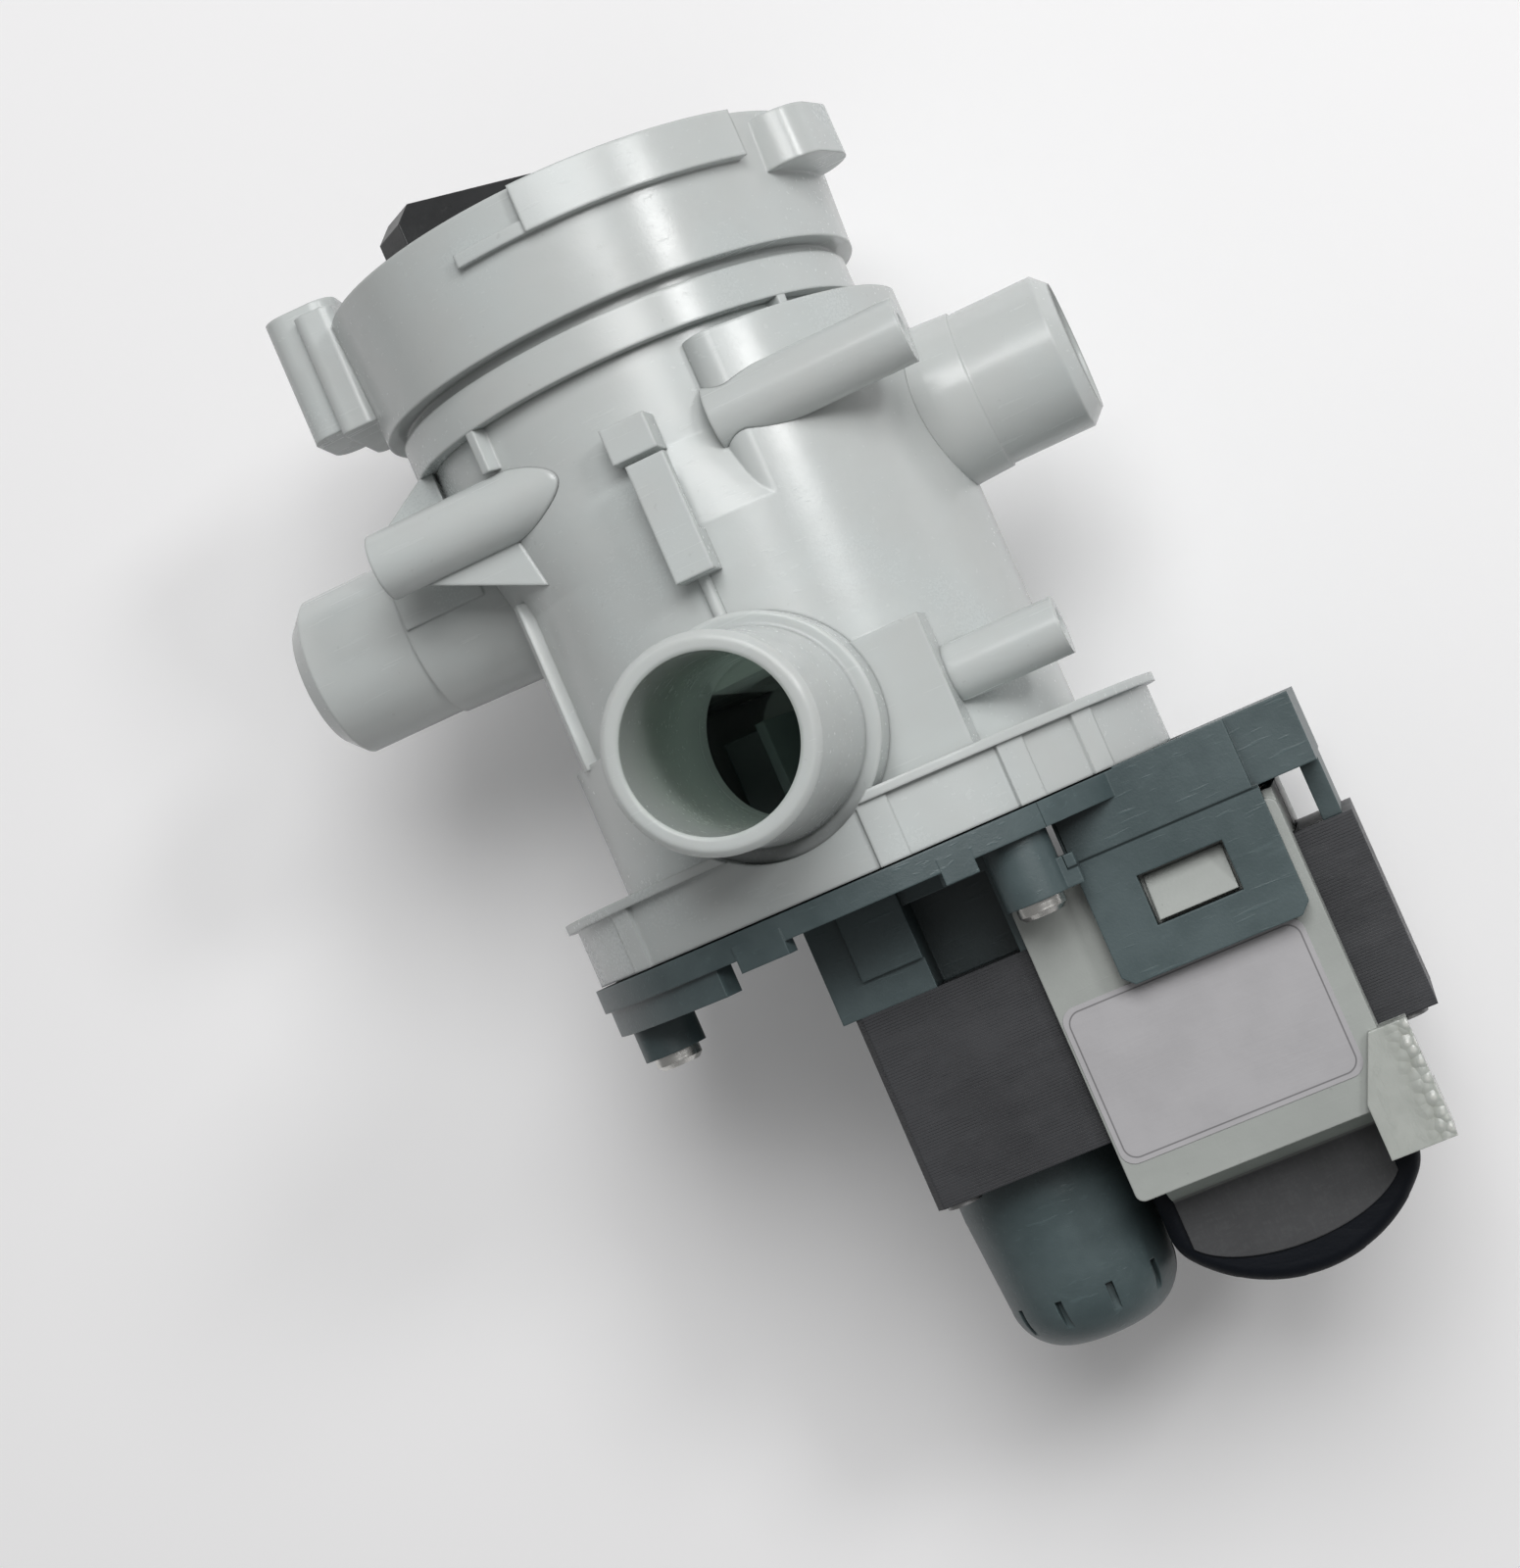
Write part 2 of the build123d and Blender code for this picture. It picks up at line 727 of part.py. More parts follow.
# Screw sleeves: the left one with its gusset, the low one with a round inner end
with BuildPart() as left_sleeve:
    with BuildSketch(level(left_sleeve_z)) as gusset:
        with BuildLine():
            Polyline((-left_sleeve_reach + left_sleeve_radius, left_sleeve_y),
                     (gusset_inner_x, left_sleeve_y), (gusset_inner_x, gusset_low_y),
                     (-left_sleeve_reach + left_sleeve_radius, left_sleeve_y - left_sleeve_radius),
                     close=True)
        make_face()
    extrude(gusset.sketch, amount=-gusset_wall)
    sleeve(collar_x, -left_sleeve_reach, left_sleeve_y, left_sleeve_z, left_sleeve_radius)
left_sleeve.part.label = "left_sleeve"
export_step(left_sleeve.part, "parts/left_sleeve.step")

with BuildPart() as right_sleeve:
    sleeve(pad_x, right_sleeve_reach, right_sleeve_y, right_sleeve_z, right_sleeve_radius)
right_sleeve.part.label = "right_sleeve"
export_step(right_sleeve.part, "parts/right_sleeve.step")

with BuildPart() as low_sleeve:
    with Locations(level(low_sleeve_z, low_sleeve_inner_x, low_sleeve_y)):
        Sphere(low_sleeve_radius)
    sleeve(low_sleeve_inner_x, low_sleeve_reach, low_sleeve_y, low_sleeve_z, low_sleeve_radius)
    outlet_pad(Mode.SUBTRACT)
low_sleeve.part.label = "low_sleeve"
export_step(low_sleeve.part, "parts/low_sleeve.step")

# Cable hook on the front: an arm on a foot, and a rod below it
hook_left = hook_x - hook_width / 2
hook_right = hook_x + hook_width / 2
with BuildPart() as cable_hook:
    block((hook_left, hook_low_y, body_bore), (hook_right, hook_low_y + hook_foot, hook_z))
    block((hook_left, hook_low_y, hook_z - hook_wall), (hook_right, hook_high_y, hook_z))
    slug(hook_low_y, outlet_y, hook_rod_radius, hook_x, body_radius)
    shell(0, body_radius, neck_radius, mode=Mode.SUBTRACT)
    add(outlet_form.part, mode=Mode.SUBTRACT)
cable_hook.part.label = "cable_hook"
export_step(cable_hook.part, "parts/cable_hook.step")

# The bracket is one dark moulding, given in two pieces: the rotor can, and the rest
core_low_y = core_top_y - core_length
can_bore = can_radius - can_wall
can_floor_y = can_end_y + can_end_wall
with BuildPart() as rotor_can:
    with BuildSketch(along_y()) as can:
        with BuildLine():
            Polyline((can_end_y, can_end_radius - can_end_round), (can_end_y, 0), (0, 0), (0, can_radius),
                     (can_shoulder_y, can_radius), (can_end_y + can_end_round, can_end_radius))
            RadiusArc((can_end_y + can_end_round, can_end_radius),
                      (can_end_y, can_end_radius - can_end_round),
                      -can_end_round)
        make_face()
    revolve(can.sketch, axis=Axis(along_y().origin, along_y().x_dir))
    slug(overrun, can_floor_y + pocket_height, can_bore, mode=Mode.SUBTRACT)
    slug(can_floor_y + pocket_height + overrun, can_floor_y, pocket_radius, mode=Mode.SUBTRACT)
    for index in range(can_notch_count):
        spoke(can_end_y + can_notch_height, can_end_y + can_end_round / 2,
              can_end_radius - can_notch_depth, can_radius + overrun, can_notch_width,
              index * full_turn / can_notch_count, mode=Mode.SUBTRACT)
rotor_can.part.label = "rotor_can"
export_step(rotor_can.part, "parts/rotor_can.step")

# Plate with a rebate for the flange's skirt, tabs, pedestal, saddle, latches and bosses
with BuildPart() as motor_bracket:
    slug(0, -plate_depth, plate_radius, body_x)
    slug(-plate_web, -plate_depth, plate_radius - plate_rim, body_x, mode=Mode.SUBTRACT)
    step_pad_radius = plate_radius - step_pad_inset
    sector(-plate_web, -plate_depth - step_pad_depth, step_pad_radius, step_pad_radius - step_pad_width,
           step_pad_start_turn, step_pad_end_turn, body_x)
    for turn, width in zip(tab_turns, tab_widths):
        spoke(-plate_web, -plate_depth - tab_depth, plate_radius - tab_wall, plate_radius, width, turn,
              body_x)
    # Pedestal under the core, with a recess and a pad on its front
    block((-pedestal_half_width, core_top_y, -pole_z), (pedestal_half_width, -plate_web, pole_z))
    block((pad_left_x, pad_low_y, pole_z - saddle_wall), (pad_right_x, -plate_web, pole_z + pad_lift))
    for side in (1, -1):
        deep, front = sorted((side * (pole_z - pedestal_recess_depth), side * (pole_z + pad_lift + overrun)))
        block((pad_right_x, core_top_y - overrun, deep),
              (pedestal_recess_x, pedestal_recess_high_y, front), mode=Mode.SUBTRACT)
    # Saddle over the coils: a tray that opens towards the motor, folded back at its right
    saddle_inner_z = saddle_z - saddle_wall
    block((saddle_left_x, -saddle_depth, -saddle_z), (saddle_right_x, saddle_top_y, saddle_z))
    block((saddle_left_x + saddle_wall, -saddle_depth - overrun, -saddle_inner_z),
          (saddle_right_x - saddle_wall, -saddle_wall, saddle_inner_z), mode=Mode.SUBTRACT)
    for side in (1, -1):
        near, far = sorted((side * saddle_inner_z, side * saddle_z))
        with BuildSketch(level(near)) as latch:
            with BuildLine():
                Polyline((latch_left_x, -saddle_wall), (latch_right_x, -saddle_wall),
                         (latch_right_x, latch_low_y + latch_corner),
                         (latch_right_x - latch_corner, latch_low_y),
                         (latch_left_x + latch_corner, latch_low_y),
                         (latch_left_x, latch_low_y + latch_corner), close=True)
            make_face()
            with Locations(((window_left_x + window_right_x) / 2, (window_low_y + window_high_y) / 2)):
                Rectangle(window_right_x - window_left_x, window_high_y - window_low_y,
                          mode=Mode.SUBTRACT)
        extrude(latch.sketch, amount=far - near)
        fold, skin = sorted((side * (saddle_z - saddle_fold_depth), side * (saddle_z + overrun)))
        block((saddle_fold_x, -saddle_depth, fold), (saddle_right_x + overrun, overrun, skin),
              mode=Mode.SUBTRACT)
    block((saddle_right_x - arm_wall, core_top_y, -arm_half_width),
          (saddle_right_x, -saddle_wall, arm_half_width))
    # Screw bosses, the ring that centres the housing, the rebate and the seal's groove
    lug_x, lug_z = on_circle(screw_circle, screw_turns[0], body_x)
    block((lug_x, boss_y, lug_z - boss_lug_width / 2),
          (lug_x + boss_radius + boss_lug_reach, boss_y + boss_lug_height, lug_z + boss_lug_width / 2))
    for turn in screw_turns:
        x, z = on_circle(screw_circle, turn, body_x)
        slug(-joint_lip - joint_seam, boss_y, boss_radius, x, z)
        slug(overrun, boss_y - overrun, screw_radius + screw_clearance, x, z, mode=Mode.SUBTRACT)
    tube(spigot_ring_height, 0, chamber_radius - spigot_ring_gap,
         chamber_radius - spigot_ring_gap - spigot_ring_wall)
    tube(overrun, -joint_lip - joint_seam, plate_radius + overrun, skirt_radius - skirt_wall - seat_gap,
         body_x, mode=Mode.SUBTRACT)
    tube(overrun, -seal_depth, seal_radius + seal_width / 2, seal_radius - seal_width / 2,
         mode=Mode.SUBTRACT)
    slug(overrun, core_top_y - overrun, can_radius, mode=Mode.SUBTRACT)
motor_bracket.part.label = "motor_bracket"
export_step(motor_bracket.part, "parts/motor_bracket.step")

# O-ring between the housing's chamber wall and the bracket
with BuildPart() as housing_seal:
    tube(0, -seal_depth, seal_radius + seal_width / 2, seal_radius - seal_width / 2)
housing_seal.part.label = "housing_seal"
export_step(housing_seal.part, "parts/housing_seal.step")

# Screws from the bracket's bosses into the housing's pillars
with BuildPart() as flange_screws:
    for turn in screw_turns:
        x, z = on_circle(screw_circle, turn, body_x)
        head_y = boss_y - head_height
        slug(screw_depth, boss_y, screw_radius, x, z)
        turned(along_y(x, z), (
            (boss_y, 0), (boss_y, head_radius), (head_y + head_round, head_radius),
            (head_y, head_radius - head_round), (head_y, 0)))
        with BuildSketch(across(head_y + cross_depth, x, z, turn)) as recess:
            Rectangle(cross_length, cross_width)
            Rectangle(cross_width, cross_length)
        extrude(recess.sketch, amount=cross_depth, mode=Mode.SUBTRACT)
flange_screws.part.label = "flange_screws"
export_step(flange_screws.part, "parts/flange_screws.step")

# Laminated core: two poles round the rotor can, two legs and a yoke
with BuildPart() as stator_core:
    with BuildSketch(across(core_top_y)) as lamination:
        for side in (1, -1):
            with Locations(((pole_left_x + pole_right_x) / 2, side * (pole_inner_z + pole_z) / 2)):
                Rectangle(pole_right_x - pole_left_x, pole_z - pole_inner_z)
            with Locations(((pole_right_x + yoke_left_x) / 2, side * (leg_low_z + leg_high_z) / 2)):
                Rectangle(yoke_left_x - pole_right_x, leg_high_z - leg_low_z)
        with Locations(((yoke_left_x + yoke_reach) / 2, 0)):
            Rectangle(yoke_reach - yoke_left_x, 2 * leg_high_z)
        Circle(can_radius + can_gap, mode=Mode.SUBTRACT)
        corners = lamination.vertices().group_by(Axis.X)[0].sort_by(Axis.Z)
        chamfer([corners[0], corners[-1]], length=pole_chamfer)
    extrude(lamination.sketch, amount=core_length)
    rivet_places = [(x, side * z) for side in (1, -1) for x, z in (
        (pole_left_x + rivet_inset, pole_z - rivet_inset),
        ((yoke_left_x + yoke_reach) / 2, leg_high_z - rivet_inset))]
    for x, z in rivet_places:
        slug(core_top_y, core_low_y, rivet_radius, x, z, mode=Mode.SUBTRACT)
stator_core.part.label = "stator_core"
export_step(stator_core.part, "parts/stator_core.step")

# Rivets through the laminations, headed on the side away from the bracket
with BuildPart() as core_rivets:
    for x, z in rivet_places:
        slug(core_top_y, core_low_y, rivet_radius, x, z)
        slug(core_low_y, core_low_y - rivet_head_height, rivet_head_radius, x, z)
core_rivets.part.label = "core_rivets"
export_step(core_rivets.part, "parts/core_rivets.step")

# Front bobbin: a tube on the core's leg, two flanges and a cover plate with a latch tooth
bobbin_left_x = pole_right_x + bobbin_gap
bobbin_right_x = yoke_left_x - bobbin_gap
hole_top_y = core_top_y + bobbin_gap
hole_low_y = core_low_y - bobbin_gap
hole_low_z = leg_low_z - bobbin_gap
hole_high_z = leg_high_z + bobbin_gap
cover_inner_z = cover_z - cover_wall
with BuildPart() as front_bobbin:
    block((bobbin_left_x, hole_low_y - bobbin_wall, hole_low_z - bobbin_wall),
          (bobbin_right_x, hole_top_y + bobbin_wall, hole_high_z + bobbin_wall))
    for x in (bobbin_left_x, bobbin_right_x - flange_wall):
        block((x, coil_low_y, coil_inner_z), (x + flange_wall, coil_top_y, cover_inner_z))
    cover_middle_x = (cover_left_x + bobbin_right_x) / 2
    cover_middle_y = (coil_low_y + cover_top_y) / 2
    with BuildSketch(level(cover_inner_z, cover_middle_x, cover_middle_y)) as cover:
        RectangleRounded(bobbin_right_x - cover_left_x, cover_top_y - coil_low_y, cover_corner)
    extrude(cover.sketch, amount=cover_wall)
    block((bobbin_left_x - overrun, hole_low_y, hole_low_z),
          (bobbin_right_x + overrun, hole_top_y, hole_high_z), mode=Mode.SUBTRACT)
    # Latch tooth: a wedge that stands in the bracket's window
    tooth_low_x = window_left_x + tooth_clearance
    tooth_high_x = window_right_x - tooth_clearance
    with BuildSketch(Plane(level(0, tooth_low_x).origin, x_dir=(0, 1, 0), z_dir=(1, 0, 0))) as tooth:
        with BuildLine():
            Polyline((window_high_y - tooth_clearance, cover_z),
                     (window_high_y - tooth_clearance, cover_z + tooth_lip),
                     (window_low_y + tooth_clearance, saddle_z - tooth_lip),
                     (window_low_y + tooth_clearance, cover_z),
                     close=True)
        make_face()
    extrude(tooth.sketch, amount=tooth_high_x - tooth_low_x)
front_bobbin.part.label = "front_bobbin"
export_step(front_bobbin.part, "parts/front_bobbin.step")

with BuildPart() as rear_bobbin:
    mirror(front_bobbin.part, about=level(0))
rear_bobbin.part.label = "rear_bobbin"
export_step(rear_bobbin.part, "parts/rear_bobbin.step")

# Windings: a thick ring of wire between each bobbin's flanges
with BuildPart() as front_winding:
    turns_left_x = bobbin_left_x + flange_wall
    turns_right_x = bobbin_right_x - flange_wall
    turns_low_z = coil_inner_z + coil_rim
    turns_high_z = cover_inner_z - coil_rim
    with BuildSketch(Plane(level(0, turns_left_x).origin, x_dir=(0, 1, 0), z_dir=(1, 0, 0))) as section:
        with Locations(((coil_top_y + coil_low_y) / 2, (turns_low_z + turns_high_z) / 2)):
            RectangleRounded(coil_top_y - coil_low_y - 2 * coil_rim, turns_high_z - turns_low_z,
                             winding_corner)
        with Locations(((hole_top_y + hole_low_y) / 2, (hole_low_z + hole_high_z) / 2)):
            Rectangle(hole_top_y - hole_low_y + 2 * bobbin_wall,
                      hole_high_z - hole_low_z + 2 * bobbin_wall,
                      mode=Mode.SUBTRACT)
    extrude(section.sketch, amount=turns_right_x - turns_left_x)
front_winding.part.label = "front_winding"
export_step(front_winding.part, "parts/front_winding.step")

with BuildPart() as rear_winding:
    mirror(front_winding.part, about=level(0))
rear_winding.part.label = "rear_winding"
export_step(rear_winding.part, "parts/rear_winding.step")

# Rating plate: a bare sticker on the front cover
with BuildPart() as rating_label:
    block((label_left_x, label_low_y, cover_z), (label_right_x, label_high_y, cover_z + label_thickness),
          label_corner)
rating_label.part.label = "rating_label"
export_step(rating_label.part, "parts/rating_label.step")

# Taped bundle: the coil ends and the thermal cut-out under black tape
crown_x = wrap_left_x + wrap_crown_share * (wrap_right_x - wrap_left_x)
with BuildPart() as coil_end_wrap:
    with BuildSketch(level(-wrap_half_height)) as bundle:
        with BuildLine():
            Line((wrap_right_x, wrap_right_y), (wrap_right_x, coil_low_y))
            Line((wrap_right_x, coil_low_y), (wrap_left_x, coil_low_y))
            Line((wrap_left_x, coil_low_y), (wrap_left_x, wrap_left_y))
            ThreePointArc((wrap_left_x, wrap_left_y), (crown_x, wrap_low_y), (wrap_right_x, wrap_right_y))
        make_face()
    extrude(bundle.sketch, amount=2 * wrap_half_height)
    rims = coil_end_wrap.edges().filter_by(GeomType.CIRCLE)
    fillet(rims, radius=wrap_edge)
    block((crown_x - cutout_length / 2, cutout_y - cutout_width / 2, -cutout_height / 2),
          (crown_x + cutout_length / 2, cutout_y + cutout_width / 2, cutout_height / 2),
          mode=Mode.SUBTRACT)
coil_end_wrap.part.label = "coil_end_wrap"
export_step(coil_end_wrap.part, "parts/coil_end_wrap.step")

with BuildPart() as thermal_cutout:
    block((crown_x - cutout_length / 2, cutout_y - cutout_width / 2, -cutout_height / 2),
          (crown_x + cutout_length / 2, cutout_y + cutout_width / 2, cutout_height / 2))
thermal_cutout.part.label = "thermal_cutout"
export_step(thermal_cutout.part, "parts/thermal_cutout.step")

# Insulating flap: a grey card, folded up along the front bobbin's edge
with BuildPart() as insulating_flap:
    with BuildSketch(level(wrap_half_height)) as card:
        with BuildLine():
            Line((flap_right_x, flap_right_y), (flap_right_x, coil_low_y))
            Line((flap_right_x, coil_low_y), (flap_left_x, coil_low_y))
            Line((flap_left_x, coil_low_y), (flap_left_x, flap_left_y))
            ThreePointArc((flap_left_x, flap_left_y), ((flap_left_x + flap_right_x) / 2, flap_low_y),
                          (flap_right_x, flap_right_y))
        make_face()
    extrude(card.sketch, amount=flap_wall)
    block((flap_left_x, coil_low_y - flap_lip_width, wrap_half_height),
          (flap_right_x, coil_low_y, wrap_half_height + flap_lip_height))
insulating_flap.part.label = "insulating_flap"
export_step(insulating_flap.part, "parts/insulating_flap.step")

# Terminal block: a socket that opens away from the bracket, and its two tabs
socket_floor_y = terminal_low_y + socket_depth
tab_y = socket_floor_y - tab_blade_length + terminal_wall
with BuildPart() as terminal_block:
    block((terminal_inner_x, terminal_low_y, terminal_low_z), (terminal_x, coil_low_y, terminal_high_z))
    block((yoke_left_x, coil_low_y - overrun, cover_z - terminal_tail_depth),
          (terminal_x, terminal_top_y, cover_z))
    with BuildSketch(level(cover_z)) as face:
        with BuildLine():
            Polyline((terminal_face_x, terminal_top_y), (terminal_x, terminal_top_y),
                     (terminal_x, terminal_low_y),
                     (terminal_inner_x, terminal_low_y), (terminal_inner_x, coil_low_y + terminal_wall),
                     close=True)
        make_face()
    extrude(face.sketch, amount=terminal_high_z - cover_z)
    block((terminal_inner_x + terminal_wall, terminal_low_y - overrun, terminal_low_z + terminal_wall),
          (terminal_x - terminal_wall, socket_floor_y, terminal_high_z - terminal_wall),
          mode=Mode.SUBTRACT)
    terminal_middle_x = (terminal_inner_x + terminal_x) / 2
    terminal_middle_z = (terminal_low_z + terminal_high_z) / 2
    for side in (1, -1):
        z = terminal_middle_z + side * tab_blade_pitch / 2
        block((terminal_middle_x - tab_blade_width / 2, socket_floor_y - overrun, z - tab_blade_wall / 2),
              (terminal_middle_x + tab_blade_width / 2, socket_floor_y + tab_blade_root,
               z + tab_blade_wall / 2),
              mode=Mode.SUBTRACT)
terminal_block.part.label = "terminal_block"
export_step(terminal_block.part, "parts/terminal_block.step")

with BuildPart() as terminal_tabs:
    for side in (1, -1):
        z = terminal_middle_z + side * tab_blade_pitch / 2
        block((terminal_middle_x - tab_blade_width / 2, tab_y, z - tab_blade_wall / 2),
              (terminal_middle_x + tab_blade_width / 2, socket_floor_y + tab_blade_root,
               z + tab_blade_wall / 2))
terminal_tabs.part.label = "terminal_tabs"
export_step(terminal_tabs.part, "parts/terminal_tabs.step")

# Rotor: a magnet on a plastic sleeve that turns on the shaft and drives it by a tooth
bore = shaft_radius + running_gap
sleeve_low_y = magnet_low_y - sleeve_flange
sleeve_high_y = magnet_high_y + sleeve_flange
with BuildPart() as rotor_magnet:
    tube(magnet_high_y, magnet_low_y, magnet_radius, magnet_bore)
rotor_magnet.part.label = "rotor_magnet"
export_step(rotor_magnet.part, "parts/rotor_magnet.step")

tooth_turn = full_turn * tooth_share
dog_turn = tooth_turn / 2 + dog_lead_turn
with BuildPart() as rotor_sleeve:
    slug(magnet_high_y, magnet_low_y, magnet_bore)
    slug(sleeve_high_y, magnet_high_y, sleeve_flange_radius)
    slug(magnet_low_y, sleeve_low_y, sleeve_flange_radius)
    sector(sleeve_high_y + tooth_height, sleeve_high_y, tooth_outer, tooth_inner, -tooth_turn / 2,
           tooth_turn / 2)
    slug(sleeve_high_y + overrun, sleeve_low_y - overrun, bore, mode=Mode.SUBTRACT)
rotor_sleeve.part.label = "rotor_sleeve"
export_step(rotor_sleeve.part, "parts/rotor_sleeve.step")

with BuildPart() as rotor_shaft:
    slug(shaft_high_y, shaft_low_y, shaft_radius)
rotor_shaft.part.label = "rotor_shaft"
export_step(rotor_shaft.part, "parts/rotor_shaft.step")

# Dog on the shaft: the tooth pushes its arm after most of a half turn of free play
with BuildPart() as drive_dog:
    dog_low_y = sleeve_high_y + dog_gap
    dog_high_y = sleeve_high_y + tooth_height
    slug(dog_high_y, dog_low_y, dog_hub)
    sector(dog_high_y, dog_low_y, tooth_outer, dog_hub - overrun, dog_turn, dog_turn + tooth_turn)
    slug(dog_high_y + overrun, dog_low_y - overrun, shaft_radius, mode=Mode.SUBTRACT)
drive_dog.part.label = "drive_dog"
export_step(drive_dog.part, "parts/drive_dog.step")

# Bearings: a rubber holder with a bush at the wet end, a bush in the can's end
with BuildPart() as bearing_holder:
    tube(holder_high_y, holder_low_y, can_bore, bearing_radius)
    tube(bearing_low_y, holder_low_y, bearing_radius, bearing_radius - holder_lip)
bearing_holder.part.label = "bearing_holder"
export_step(bearing_holder.part, "parts/bearing_holder.step")

with BuildPart() as front_bearing:
    tube(bearing_high_y, bearing_low_y, bearing_radius, bore)
front_bearing.part.label = "front_bearing"
export_step(front_bearing.part, "parts/front_bearing.step")

with BuildPart() as shaft_seal:
    tube(holder_high_y, bearing_high_y, bearing_radius, bore)
shaft_seal.part.label = "shaft_seal"
export_step(shaft_seal.part, "parts/shaft_seal.step")

with BuildPart() as rear_bearing:
    tube(can_floor_y + rear_bearing_length, can_floor_y, pocket_radius, bore)
rear_bearing.part.label = "rear_bearing"
export_step(rear_bearing.part, "parts/rear_bearing.step")

with BuildPart() as thrust_washers:
    tube(bearing_low_y - running_gap, bearing_low_y - running_gap - washer_wall, washer_radius,
         shaft_radius)
    tube(sleeve_low_y - seat_gap, sleeve_low_y - seat_gap - washer_wall, washer_radius, shaft_radius)
thrust_washers.part.label = "thrust_washers"
export_step(thrust_washers.part, "parts/thrust_washers.step")

# Impeller: a back disc, a hub on the shaft and straight blades
with BuildPart() as impeller:
    slug(impeller_low_y + impeller_disc, impeller_low_y, impeller_radius)
    slug(impeller_high_y, impeller_low_y, impeller_hub)
    for index in range(blade_count):
        spoke(impeller_high_y, impeller_low_y, 0, impeller_radius, blade_wall,
              index * full_turn / blade_count)
    slug(shaft_high_y, impeller_low_y - overrun, shaft_radius, mode=Mode.SUBTRACT)
impeller.part.label = "impeller"
export_step(impeller.part, "parts/impeller.step")

# Filter cap: disc with a rim, skirt with bayonet lugs, hub and a bar handle
groove_height_half = o_ring_section + seat_gap / 2
o_ring_radius = cup_radius - o_ring_gap - o_ring_section
with BuildPart() as filter_cap:
    slug(cap_high_y, cap_low_y, cap_radius, collar_x)
    slug(cap_high_y - cap_plate, cap_low_y, cap_radius - cap_rim_wall, collar_x, mode=Mode.SUBTRACT)
    tube(cap_high_y - cap_plate, bayonet_low_y, cap_skirt_radius, cap_skirt_radius - cap_skirt_wall,
         collar_x)
    slug(cap_high_y - cap_plate, cap_hub_low_y, cap_hub_radius, collar_x)
    for index in range(bayonet_count):
        spoke(bayonet_high_y, bayonet_low_y, cap_skirt_radius - cap_skirt_wall, bayonet_radius,
              bayonet_width, bayonet_turn + index * full_turn / bayonet_count, collar_x)
    out = (cos(radians(handle_turn)), 0, sin(radians(handle_turn)))
    away = (-sin(radians(handle_turn)), 0, cos(radians(handle_turn)))
    with BuildSketch(Plane(origin=level(0, collar_x).origin, x_dir=out, z_dir=away)) as handle:
        half = handle_length / 2
        with BuildLine():
            Polyline((-half, cap_high_y - cap_plate), (-half, handle_y - handle_chamfer),
                     (-half + handle_chamfer, handle_y), (half - handle_chamfer, handle_y),
                     (half, handle_y - handle_chamfer), (half, cap_high_y - cap_plate), close=True)
        make_face()
    extrude(handle.sketch, amount=handle_width / 2, both=True)
    tube(o_ring_y + groove_height_half, o_ring_y - groove_height_half, cap_radius + overrun,
         o_ring_radius - o_ring_section, collar_x, mode=Mode.SUBTRACT)
    slug(stem_high_y + seat_gap, cap_hub_low_y - overrun, stem_radius + running_gap, collar_x,
         mode=Mode.SUBTRACT)
filter_cap.part.label = "filter_cap"
export_step(filter_cap.part, "parts/filter_cap.step")

with BuildPart() as cap_seal:
    with BuildSketch(along_y(collar_x)) as section:
        with Locations((o_ring_y, o_ring_radius)):
            Circle(o_ring_section)
    revolve(section.sketch, axis=Axis(along_y(collar_x).origin, along_y().x_dir))
cap_seal.part.label = "cap_seal"
export_step(cap_seal.part, "parts/cap_seal.step")

# Lint basket: a slotted cup, open towards the impeller, on a stem in the cap's hub
with BuildPart() as lint_basket:
    tube(basket_high_y, basket_low_y, basket_radius, basket_radius - basket_wall, collar_x)
    slug(basket_high_y, basket_high_y - basket_plate, basket_radius, collar_x)
    slug(stem_high_y, basket_high_y - basket_plate, stem_radius, collar_x)
    for index in range(basket_slot_count):
        spoke(basket_slot_high_y, basket_slot_low_y, basket_radius - basket_wall - overrun,
              basket_radius + overrun, basket_slot_width, index * full_turn / basket_slot_count,
              collar_x, mode=Mode.SUBTRACT)
lint_basket.part.label = "lint_basket"
export_step(lint_basket.part, "parts/lint_basket.step")
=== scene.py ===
import json
from math import cos, pi, radians, sin

import bpy
import numpy as np
from bpy.props import FloatProperty, FloatVectorProperty, IntProperty, PointerProperty
from mathutils import Matrix, Vector


